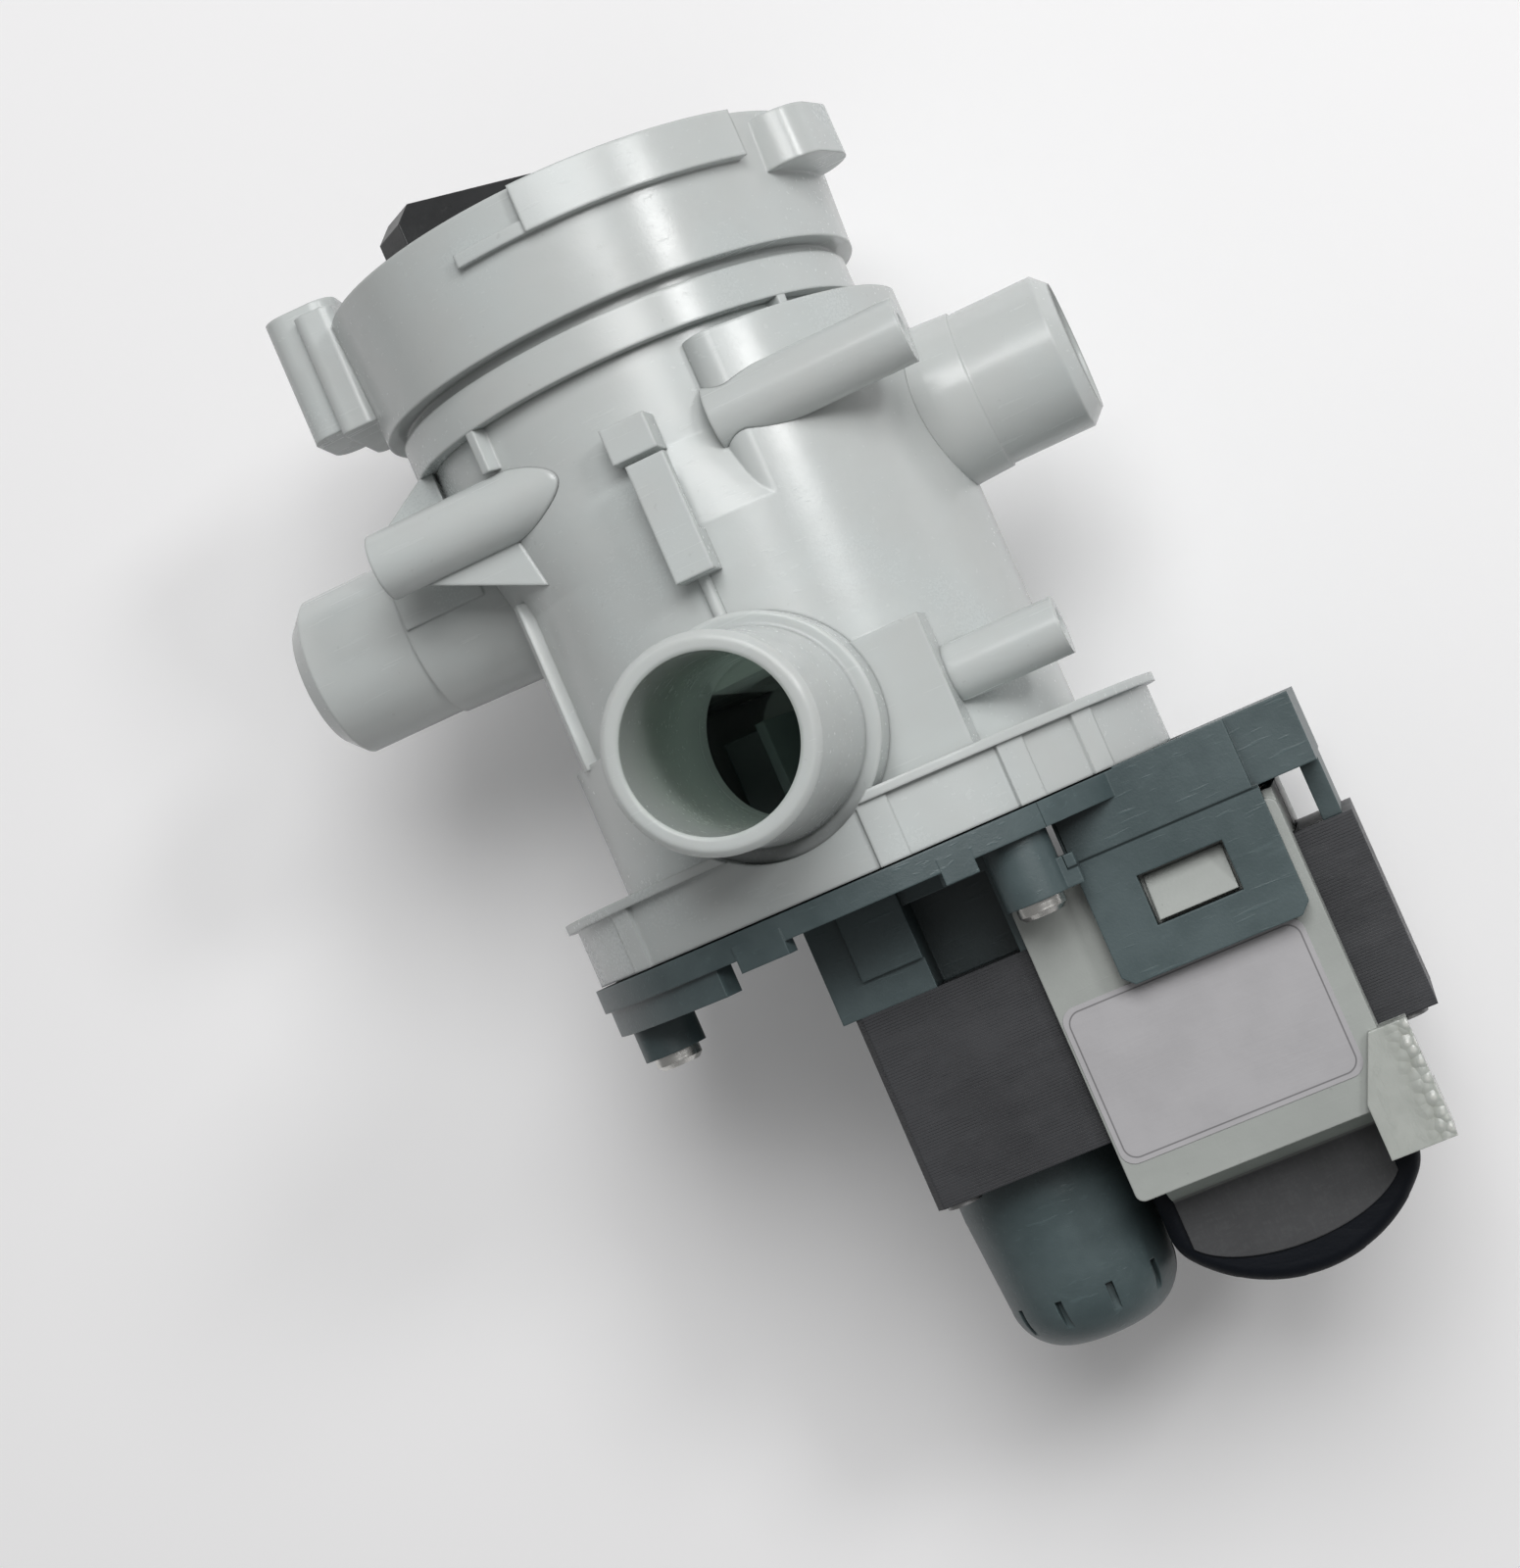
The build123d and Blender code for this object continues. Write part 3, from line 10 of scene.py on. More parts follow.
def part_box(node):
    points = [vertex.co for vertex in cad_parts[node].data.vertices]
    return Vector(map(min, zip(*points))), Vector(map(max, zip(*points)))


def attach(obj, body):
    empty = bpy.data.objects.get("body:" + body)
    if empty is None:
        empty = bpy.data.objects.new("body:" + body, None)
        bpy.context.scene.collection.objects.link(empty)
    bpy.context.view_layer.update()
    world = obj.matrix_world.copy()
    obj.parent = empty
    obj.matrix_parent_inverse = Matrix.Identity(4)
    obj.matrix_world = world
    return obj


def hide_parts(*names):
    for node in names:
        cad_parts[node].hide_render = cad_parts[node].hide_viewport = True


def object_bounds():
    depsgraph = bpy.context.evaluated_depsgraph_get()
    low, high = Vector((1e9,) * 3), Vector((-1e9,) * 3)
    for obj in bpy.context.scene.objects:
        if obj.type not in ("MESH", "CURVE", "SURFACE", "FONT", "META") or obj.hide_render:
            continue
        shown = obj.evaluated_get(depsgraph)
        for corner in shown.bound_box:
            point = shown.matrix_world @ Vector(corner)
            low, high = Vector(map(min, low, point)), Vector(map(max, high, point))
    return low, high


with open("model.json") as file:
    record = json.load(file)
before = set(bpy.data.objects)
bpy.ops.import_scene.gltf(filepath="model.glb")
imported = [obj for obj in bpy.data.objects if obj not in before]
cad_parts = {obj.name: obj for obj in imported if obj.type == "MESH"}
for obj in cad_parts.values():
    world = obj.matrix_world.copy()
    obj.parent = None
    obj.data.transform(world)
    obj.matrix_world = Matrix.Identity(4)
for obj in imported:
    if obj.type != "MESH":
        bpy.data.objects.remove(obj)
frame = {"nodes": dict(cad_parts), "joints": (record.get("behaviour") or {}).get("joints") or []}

bl_info = {
    "name": "Washer drain pump",
    "version": (1, 0, 0),
    "blender": (4, 5, 0),
    "location": "3D View > Sidebar > Pump",
    "description": "Finishes, taped coil ends and stage of a washer drain pump",
    "category": "Object",
}

NODES = frame["nodes"]
HOUSING = ("pump_housing", "housing_flange", "filter_collar", "impeller_chamber", "outlet_tube", "left_tube",
           "right_tube", "left_sleeve", "right_sleeve", "low_sleeve", "cable_hook")
CAD_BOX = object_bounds()


def pivot(name):
    """Place of a joint's axis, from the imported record."""
    return Vector(next(joint["pos_m"] for joint in frame["joints"] if joint["name"] == name))


AXIS = pivot("rotor_spin")


class Value:
    """A shader socket. Arithmetic on it adds Math nodes."""

    def __init__(self, shader, socket):
        self.shader = shader
        self.socket = socket

    def math(self, operation, *others):
        return self.shader.node("Math", {"operation": operation}, dict(enumerate((self, *others))))

    def __add__(self, other):
        return self.math("ADD", other)

    __radd__ = __add__

    def __sub__(self, other):
        return self.math("SUBTRACT", other)

    def __rsub__(self, other):
        return self.shader.node("Math", {"operation": "SUBTRACT"}, {0: other, 1: self})

    def __mul__(self, other):
        return self.math("MULTIPLY", other)

    __rmul__ = __mul__

    def __truediv__(self, other):
        return self.math("DIVIDE", other)

    def __pow__(self, other):
        return self.math("POWER", other)

    def ramp(self, low, high, bottom=0.0, top=1.0):
        """Smooth step from bottom to top while the value goes from low to high."""
        inputs = {"Value": self, "From Min": low, "From Max": high, "To Min": bottom, "To Max": top}
        return self.shader.node("MapRange", {"interpolation_type": "SMOOTHSTEP"}, inputs)


class Shader:
    """One material, with its nodes added by one method."""

    def __init__(self, name):
        self.material = bpy.data.materials.new(name)
        self.material.use_nodes = True
        self.tree = self.material.node_tree
        self.surface = self.tree.nodes["Principled BSDF"]
        self.place = self.node("TexCoord", output="Object")

    def node(self, kind, settings=None, inputs=None, output=0):
        """Adds a node: its settings first, then the values or links of its sockets."""
        made = self.tree.nodes.new("ShaderNode" + kind)
        for key, value in (settings or {}).items():
            setattr(made, key, value)
        for key, value in (inputs or {}).items():
            self.feed(made.inputs[key], value)
        return Value(self, made.outputs[output])

    def feed(self, socket, value):
        if isinstance(value, Value):
            self.tree.links.new(value.socket, socket)
        else:
            socket.default_value = value

    def set(self, **values):
        """Values or links of the surface's sockets, their names written with underscores."""
        for key, value in values.items():
            self.feed(self.surface.inputs[key.replace("_", " ")], value)

    def stretched(self, scale):
        """Object coordinates scaled by three factors, in cells to the metre."""
        return self.node("Mapping", {"vector_type": "POINT"}, {"Vector": self.place, "Scale": scale})

    def noise(self, size, detail=3.0, grain=0.5, stretch=(1, 1, 1), warp=0.0):
        """Noise whose cells are about size metres, stretched along each axis."""
        scale = tuple(factor / size for factor in stretch)
        inputs = {"Vector": self.stretched(scale), "Scale": 1.0, "Detail": detail, "Roughness": grain,
                  "Distortion": warp}
        return self.node("TexNoise", {}, inputs)

    def cells(self, size):
        """Distance from the middle of cells of about size metres."""
        return self.node("TexVoronoi", {}, {"Vector": self.stretched((1 / size,) * 3), "Scale": 1.0})

    def along(self, axis):
        """One of the object coordinates, in metres."""
        return self.node("SeparateXYZ", {}, {0: self.place}, "XYZ"[axis])

    def mix(self, factor, first, second):
        """Blend of two colours."""
        tidy = [(*c, 1.0) if isinstance(c, (tuple, list)) and len(c) == 3 else c for c in (first, second)]
        return self.node("Mix", {"data_type": "RGBA"}, {0: factor, 6: tidy[0], 7: tidy[1]}, 2)

    def rounded(self, radius):
        """Normals as if every edge had this radius."""
        return self.node("Bevel", {"samples": 6}, {"Radius": radius})

    def edges(self, soft):
        """Mask that is 1 on edges, where the rounded normals leave the flat ones."""
        flat = self.node("NewGeometry", {}, {}, "True Normal")
        dot = self.node("VectorMath", {"operation": "DOT_PRODUCT"}, {0: soft, 1: flat}, "Value")
        return (1.0 - dot).ramp(0.01, 0.25)

    def painted_corner_shade(self, reach):
        """Mask of painted shade: 1 deep in corners and recesses, which faces less than reach metres away
        close in.
        """
        return self.node("AmbientOcclusion", {"samples": 6}, {"Distance": reach}, "AO").ramp(0.75, 0.25)

    def relief(self, height, depth, soft=None):
        """Normals of a height pattern that is depth metres deep."""
        inputs = {"Height": height, "Distance": depth, "Strength": 1.0}
        if soft:
            inputs["Normal"] = soft
        return self.node("Bump", {}, inputs)


def shade(colour, factor):
    """The colour, made darker or lighter by a factor."""
    return tuple(min(1.0, part * factor) for part in colour)


def moulded(name, colour, roughness, edge, worn=1.12, streak=0.05):
    """Moulded plastic: cloudy tint, a fine grain from the mould, flow streaks and lightly rubbed edges."""
    sh = Shader(name)
    soft = sh.rounded(edge)
    cloud = sh.noise(0.02, 4, 0.6).ramp(0.3, 0.7)
    flow = sh.noise(0.004, 2, 0.5, (0.25, 1, 1), 0.6).ramp(0.35, 0.75)
    base = sh.mix(cloud, shade(colour, 1 - streak), shade(colour, 1 + streak))
    base = sh.mix(flow * 0.35, base, shade(colour, 1 - 1.6 * streak))
    specks = sh.noise(0.0012, 1, 0.5).ramp(0.74, 0.8)
    base = sh.mix(specks * 0.5, base, shade(colour, 0.7))
    base = sh.mix(sh.edges(soft) * 0.7, base, shade(colour, worn))
    fine = sh.noise(0.0006, 3, 0.6)
    scratches = sh.noise(0.0008, 2, 0.6, (0.06, 1, 1), 0.3).ramp(0.62, 0.7)
    height = fine + scratches * 0.35
    sh.set(Base_Color=base, Roughness=(fine * 0.12 + cloud * 0.08 + scratches * 0.1 + (roughness - 0.12)),
           Normal=sh.relief(height, 0.00002, soft), Specular_IOR_Level=0.45)
    return sh.material


def housing_material(finish, detail, name="housing_white", film=None):
    """Off-white moulding, with the faint parting line that runs round it at the axis's height and painted
    shade in its grooves and corners. Inside a bore (x, y, radius, top), where one is given, darker green-grey
    patches cover it, more of them inwards, and the wall there glows a little: painted light that stands in
    for light passing through the wall."""
    sh = Shader(name)
    soft = sh.rounded(detail.outlet_edge if film else detail.housing_edge)
    colour = tuple(finish.housing)
    cloud = sh.noise(0.03, 4, 0.6).ramp(0.3, 0.72)
    flow = sh.noise(0.006, 3, 0.55, (0.3, 1, 1), 0.8).ramp(0.35, 0.75)
    base = sh.mix(cloud, shade(colour, 0.97), tuple(finish.housing_cool))
    base = sh.mix(flow * 0.3, base, shade(colour, 0.93))
    specks = sh.noise(0.0014, 1, 0.5).ramp(0.76, 0.8)
    base = sh.mix(specks * 0.2, base, shade(colour, 0.6))
    base = sh.mix(sh.edges(soft) * 0.4, base, shade(colour, 1.15))
    # Painted shade: darker where faces close in, in the housing's grooves and corners.
    base = sh.mix(sh.painted_corner_shade(detail.groove) * 0.35, base, shade(colour, 0.5))
    if film:
        x, y, radius, top = film
        out = ((sh.along(0) - x) ** 2.0 + (sh.along(1) - y) ** 2.0) ** 0.5
        down = top - sh.along(2)
        inside = out.ramp(radius + 0.0006, radius + 0.0002)
        patches = sh.noise(0.006, 5, 0.7).ramp(0.25, 0.7, 0.8, 1.0)
        # Darker green-grey patches inside the bore, more of them deeper in.
        base = sh.mix(inside * down.ramp(0.0, 0.03, 0.3, 1.0) * patches, base, tuple(finish.scale))
        # Painted light: a band of the bore wall glows a little, standing in for light that comes through the
        # wall.
        painted_glow_mask = inside * patches * down.ramp(0.015, 0.045) * down.ramp(0.06, 0.085, 1.0, 0.3)
        sh.set(Emission_Color=sh.mix(painted_glow_mask, (0.0, 0.0, 0.0), tuple(finish.painted_glow)), Emission_Strength=1.0)
    seam = (sh.along(2) - AXIS.z).math("ABSOLUTE").ramp(detail.parting_line, 0.0)
    fine = sh.noise(0.0005, 3, 0.6)
    waves = sh.noise(0.012, 2, 0.5)
    scratches = sh.noise(0.0009, 2, 0.6, (0.05, 1, 1), 0.3).ramp(0.63, 0.7)
    height = fine * 0.25 + waves * 2.0 + scratches * 0.1 + seam * 1.6
    sh.set(Base_Color=base, Roughness=(fine * 0.08 + cloud * 0.07 + scratches * 0.05 + 0.17),
           Normal=sh.relief(height, 0.00004, soft), Specular_IOR_Level=0.55)
    sh.set(Subsurface_Weight=0.45 if film else 0.06, Subsurface_Radius=(0.6, 0.6, 0.55),
           Subsurface_Scale=detail.outlet_depth if film else 0.0015)
    return sh.material


def bracket_material(finish, detail):
    """Dark glass-filled moulding: short pale fibres at the skin, scuffs and rubbed edges, with painted shade
    in its recesses and along the ledge above the latch.
    """
    sh = Shader("bracket_dark")
    soft = sh.rounded(detail.moulding_edge)
    colour = tuple(finish.bracket)
    cloud = sh.noise(0.018, 4, 0.65).ramp(0.3, 0.7)
    fibres = sh.noise(0.0009, 2, 0.6, (0.12, 1, 1), 0.4).ramp(0.6, 0.72)
    scuffs = sh.noise(0.007, 5, 0.75, (0.4, 1, 1), 1.2).ramp(0.58, 0.74)
    base = sh.mix(cloud, shade(colour, 0.82), tuple(finish.bracket_worn))
    base = sh.mix(fibres * 0.3, base, shade(colour, 1.5))
    base = sh.mix(scuffs * 0.25, base, shade(colour, 1.6))
    base = sh.mix(sh.edges(soft) * 0.45, base, shade(colour, 1.8))
    # Painted shade: darker where faces close in, in the motor's recesses.
    base = sh.mix(sh.painted_corner_shade(detail.recess) * 0.75, base, shade(colour, 0.25))
    down = AXIS.y - detail.ledge_drop - sh.along(1)
    latch = (sh.along(0) - AXIS.x - detail.ledge_middle).math("ABSOLUTE")
    front = (sh.along(2) - AXIS.z).math("ABSOLUTE")
    panel = latch.ramp(detail.ledge_half, detail.ledge_half - 0.0002)
    panel = panel * front.ramp(detail.ledge_front, detail.ledge_front + 0.0004)
    ledge = down.ramp(0.0004, -0.0001)
    # Painted shade: a dark line along the ledge above the latch, where the step's shadow falls.
    line = down.math("ABSOLUTE").ramp(0.0004, 0.0) * panel
    base = sh.mix(line * 0.45, base, shade(colour, 0.35))
    fine = sh.noise(0.0005, 3, 0.65)
    height = fine + fibres * 0.7 + ledge * panel * 14.0
    sh.set(Base_Color=base, Roughness=(fine * 0.14 + scuffs * 0.14 + cloud * 0.05 + 0.3),
           Normal=sh.relief(height, 0.00003, soft), Specular_IOR_Level=0.5)
    return sh.material


def core_material(finish, detail):
    """Varnished stack of laminations: one fine groove for each sheet, runs in the varnish, lighter edges that
    are partly worn varnish and partly a painted highlight, and painted shade in its recesses.
    """
    sh = Shader("core_varnish")
    soft = sh.rounded(detail.core_edge)
    colour = tuple(finish.core)
    sheet = (sh.along(1) / detail.lamination).math("FRACT")
    groove = (sheet - 0.5).math("ABSOLUTE").ramp(0.36, 0.5)
    filled = sh.noise(0.004, 4, 0.7, (0.3, 1, 1)).ramp(0.4, 0.65)
    cloud = sh.noise(0.02, 4, 0.6).ramp(0.3, 0.7)
    base = sh.mix(cloud, shade(colour, 0.85), shade(colour, 1.15))
    base = sh.mix(groove * 0.35, base, shade(colour, 0.6))
    # Lighter edges: partly worn varnish, partly a painted highlight along the edges.
    base = sh.mix(sh.edges(soft) * 0.6, base, shade(colour, 2.2))
    # Painted shade: darker where faces close in, in the core's recesses.
    base = sh.mix(sh.painted_corner_shade(detail.recess) * 0.6, base, shade(colour, 0.3))
    rust = sh.noise(0.003, 5, 0.8).ramp(0.7, 0.8)
    base = sh.mix(rust * 0.12, base, tuple(finish.rust))
    fine = sh.noise(0.0006, 3, 0.6)
    height = fine * 0.4 - groove * (1.0 - filled * 0.75)
    sh.set(Base_Color=base, Roughness=(cloud * 0.1 + fine * 0.1 + 0.36),
           Normal=sh.relief(height, 0.00005, soft), Specular_IOR_Level=0.45)
    return sh.material


def label_material(finish, detail):
    """Bare film: brushed grain, faint handling marks and a thin rounded line a little inside its edge,
    where the distance from a rounded rectangle is zero."""
    sh = Shader("label_film")
    low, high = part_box("rating_label")
    colour = tuple(finish.label)
    middle, half = (low + high) / 2, (high - low) / 2
    straight = half - Vector((1, 1, 1)) * (detail.label_margin + detail.label_corner)
    past = [(sh.along(axis) - middle[axis]).math("ABSOLUTE") - straight[axis] for axis in (0, 1)]
    round_off = (past[0].math("MAXIMUM", 0.0) ** 2.0 + past[1].math("MAXIMUM", 0.0) ** 2.0) ** 0.5
    away = round_off + past[0].math("MAXIMUM", past[1]).math("MINIMUM", 0.0) - detail.label_corner
    border = away.math("ABSOLUTE").ramp(detail.label_line, detail.label_line * 0.4)
    cloud = sh.noise(0.012, 4, 0.6).ramp(0.3, 0.7)
    grain = sh.noise(0.0005, 2, 0.6, (0.05, 1, 1))
    base = sh.mix(cloud, shade(colour, 0.96), shade(colour, 1.04))
    base = sh.mix(grain * 0.15, base, shade(colour, 0.85))
    base = sh.mix(border * 0.8, base, shade(colour, 0.3))
    sh.set(Base_Color=base, Roughness=(grain * 0.12 + cloud * 0.08 + 0.36),
           Normal=sh.relief(grain + cloud * 2.0, 0.00002, sh.rounded(detail.film_edge)), Coat_Weight=0.15)
    return sh.material


def tape_material(finish):
    """Black insulating tape: overlaps along the bundle, fine creases and a soft sheen."""
    sh = Shader("black_tape")
    colour = tuple(finish.tape)
    creases = sh.noise(0.0035, 5, 0.7, (0.35, 1, 0.35), 1.0)
    fine = sh.noise(0.0006, 3, 0.6)
    dust = sh.noise(0.005, 5, 0.75).ramp(0.55, 0.75)
    base = sh.mix(dust * 0.4, colour, tuple(finish.tape_dust))
    sh.set(Base_Color=base, Roughness=(fine * 0.15 + creases * 0.15 + 0.42),
           Normal=sh.relief(creases * 1.2 + fine * 0.3, 0.00012), Specular_IOR_Level=0.2)
    return sh.material


def card_material(finish, detail):
    """Grey insulating card: matted fibres, a green-grey folded strip and a pale painted highlight along the
    fold.
    """
    sh = Shader("insulating_card")
    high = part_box("insulating_flap")[1]
    fallen = high.y - sh.along(1)
    strip = fallen.ramp(detail.card_fold * 0.9, detail.card_fold, 1.0, 0.0)
    painted_fold_highlight = (fallen - detail.card_fold).math("ABSOLUTE").ramp(detail.card_wall, 0.0)
    fibres = sh.noise(0.0009, 4, 0.7, (0.3, 1, 1), 1.5)
    cross = sh.noise(0.0009, 4, 0.7, (1, 0.3, 1), 1.5)
    cloud = sh.noise(0.01, 4, 0.6).ramp(0.3, 0.7)
    base = sh.mix(strip, tuple(finish.card), tuple(finish.card_strip))
    base = sh.mix(cloud * 0.12, base, (0.0, 0.0, 0.0))
    base = sh.mix((fibres * cross).ramp(0.2, 0.4) * 0.06, base, tuple(finish.card_fold))
    # Painted highlight: a pale line along the fold.
    base = sh.mix(painted_fold_highlight * 0.7, base, tuple(finish.card_fold))
    sh.set(Base_Color=base, Roughness=(fibres * 0.15 + 0.45), Normal=sh.relief(fibres + cross, 0.00001),
           Specular_IOR_Level=0.3)
    return sh.material


def socket_material(finish, detail):
    """Translucent natural plastic of the terminal block."""
    sh = Shader("terminal_natural")
    soft = sh.rounded(detail.small_edge)
    colour = tuple(finish.socket)
    cloud = sh.noise(0.006, 4, 0.6).ramp(0.3, 0.7)
    flow = sh.noise(0.0016, 3, 0.6, (1, 0.3, 1), 0.8).ramp(0.5, 0.75)
    base = sh.mix(cloud, shade(colour, 0.94), shade(colour, 1.04))
    base = sh.mix(flow * 0.3, base, shade(colour, 0.8))
    base = sh.mix(sh.edges(soft) * 0.6, base, shade(colour, 1.15))
    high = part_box("terminal_block")[1]
    outer = (high.x - sh.along(0)).ramp(detail.lump_reach, detail.lump_reach * 0.1)
    lumps = (1.0 - sh.cells(detail.lump)) * outer
    base = sh.mix(lumps.ramp(0.5, 0.8) * 0.5, base, tuple(finish.lump))
    # Painted shade: darker in the hollows between the lumps.
    base = sh.mix(lumps.ramp(0.45, 0.1) * outer * 0.35, base, tuple(finish.painted_lump_shade))
    fine = sh.noise(0.0004, 3, 0.6)
    height = lumps * 12.0 + fine * 0.3 + flow * 0.5
    sh.set(Base_Color=base, Roughness=(fine * 0.1 + flow * 0.1 + 0.14),
           Normal=sh.relief(height, 0.00005, soft))
    sh.set(Subsurface_Weight=0.35, Subsurface_Radius=(0.9, 0.95, 0.9), Subsurface_Scale=0.002)
    return sh.material


def metal(name, colour, roughness, marks_size=0.0004):
    """Bare metal: fine tool marks round the main axis, cloudy tarnish and brighter edges."""
    sh = Shader(name)
    soft = sh.rounded(0.0002)
    marks = sh.noise(marks_size, 3, 0.6, (0.04, 1.0, 0.04))
    cloud = sh.noise(0.004, 5, 0.7).ramp(0.35, 0.75)
    base = sh.mix(cloud * 0.5, colour, shade(colour, 0.75))
    base = sh.mix(sh.edges(soft) * 0.5, base, shade(colour, 1.2))
    sh.set(Base_Color=base, Metallic=1.0, Roughness=(marks * 0.15 + cloud * 0.12 + roughness),
           Normal=sh.relief(marks, 0.000015, soft))
    return sh.material


def copper_material(finish, detail):
    """Enamelled wire, wound side by side: one round bump for each turn along X."""
    sh = Shader("copper_wire")
    turn = (sh.along(0) / detail.wire).math("FRACT")
    wire = 1.0 - ((turn - 0.5) * 2.0) ** 2.0
    cross = sh.noise(0.004, 3, 0.5, (1, 0.4, 0.4)).ramp(0.4, 0.7)
    colour = tuple(finish.copper)
    base = sh.mix(cross, shade(colour, 0.8), shade(colour, 1.15))
    # Painted shade in the grooves between the turns.
    base = sh.mix((1.0 - wire) * 0.8, base, shade(colour, 0.25))
    sh.set(Base_Color=base, Metallic=0.75, Roughness=(cross * 0.1 + 0.28),
           Normal=sh.relief(wire, detail.wire * 0.4), Coat_Weight=0.4)
    return sh.material


def rubber_material(finish):
    """Black rubber with a fine moulded grain and a grey bloom."""
    sh = Shader("black_rubber")
    colour = tuple(finish.rubber)
    fine = sh.noise(0.0005, 4, 0.65)
    bloom = sh.noise(0.004, 5, 0.7).ramp(0.5, 0.8)
    base = sh.mix(bloom * 0.5, colour, shade(colour, 3.0))
    sh.set(Base_Color=base, Roughness=(fine * 0.15 + bloom * 0.15 + 0.45), Normal=sh.relief(fine, 0.00003))
    return sh.material


def magnet_material(finish):
    """Dark ferrite: ground skin with small chips and pits."""
    sh = Shader("ferrite")
    colour = tuple(finish.magnet)
    pits = sh.cells(0.0012).ramp(0.0, 0.25)
    ground = sh.noise(0.0004, 3, 0.6, (0.05, 1, 0.05))
    cloud = sh.noise(0.006, 4, 0.6).ramp(0.3, 0.7)
    base = sh.mix(cloud, shade(colour, 0.8), shade(colour, 1.3))
    base = sh.mix((1.0 - pits) * 0.5, base, shade(colour, 0.4))
    sh.set(Base_Color=base, Metallic=0.2, Roughness=(ground * 0.2 + 0.38),
           Normal=sh.relief(pits * 0.6 + ground * 0.3, 0.00005, sh.rounded(0.0003)))
    return sh.material


def bronze_material(finish):
    """Sintered bronze: open pores and a dull oily skin."""
    sh = Shader("sintered_bronze")
    colour = tuple(finish.bronze)
    pores = sh.cells(0.0005).ramp(0.05, 0.4)
    cloud = sh.noise(0.003, 4, 0.6).ramp(0.3, 0.7)
    base = sh.mix(cloud, shade(colour, 0.8), shade(colour, 1.1))
    base = sh.mix((1.0 - pores) * 0.7, base, shade(colour, 0.3))
    sh.set(Base_Color=base, Metallic=1.0, Roughness=(cloud * 0.15 + 0.32),
           Normal=sh.relief(pores, 0.00003, sh.rounded(0.0002)))
    return sh.material


def floor_material(stage):
    """Plain pale table top, a little cloudy. It looks brighter to the camera than to other rays, and far from
    the pump it turns into the even light of the surround."""
    sh = Shader("table_top")
    seen = sh.node("LightPath", output="Is Camera Ray")
    cloud = sh.noise(0.35, 2, 0.5).ramp(0.3, 0.7)
    base = sh.mix(cloud, tuple(stage.floor), shade(tuple(stage.floor), 0.985))
    far = (sh.along(0) ** 2.0 + sh.along(1) ** 2.0).ramp(stage.floor_clear ** 2, (stage.floor_size / 3) ** 2)
    base = sh.mix(far, base, (0.0, 0.0, 0.0))
    glow = sh.mix(far, (stage.floor_glow,) * 3, tuple(stage.backdrop))
    sh.set(Base_Color=base, Roughness=0.75, Specular_IOR_Level=0.0, Emission_Strength=1.0,
           Emission_Color=sh.mix(seen, (0.0, 0.0, 0.0), glow))
    return sh.material


def surface_mesh(name, points, closed=False):
    """Mesh of a grid of points (rows, columns, 3): one face for each cell, rows wrapped where closed."""
    rows, columns = points.shape[:2]
    index = np.arange(rows * columns).reshape(rows, columns)
    if closed:
        index = np.hstack((index, index[:, :1]))
    quads = np.stack((index[:-1, :-1], index[:-1, 1:], index[1:, 1:], index[1:, :-1]), axis=-1).reshape(-1, 4)
    mesh = bpy.data.meshes.new(name)
    mesh.vertices.add(rows * columns)
    mesh.vertices.foreach_set("co", points.reshape(-1).astype(np.float32))
    mesh.loops.add(quads.size)
    mesh.loops.foreach_set("vertex_index", quads.reshape(-1).astype(np.int32))
    mesh.polygons.add(len(quads))
    mesh.polygons.foreach_set("loop_start", np.arange(0, quads.size, 4, dtype=np.int32))
    mesh.update(calc_edges=True)
    mesh.validate()
    mesh.shade_smooth()
    return mesh


def add_piece(name, mesh, material, body):
    """Object at the origin that rides on a body and takes the material it is given."""
    piece = bpy.data.objects.new(name, mesh)
    bpy.context.scene.collection.objects.link(piece)
    mesh.materials.append(material)
    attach(piece, body)
    return piece


def dress(material, *nodes):
    """Puts a material on CAD nodes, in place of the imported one."""
    for name in nodes:
        slots = NODES[name].data.materials
        slots.clear()
        slots.append(material)


def length(label, description, default):
    return FloatProperty(name=label, description=description, default=default, min=0.0, unit="LENGTH")


def colour(label, description, default):
    return FloatVectorProperty(name=label, description=description, default=default, min=0.0, max=1.0,
                               size=3, subtype="COLOR")


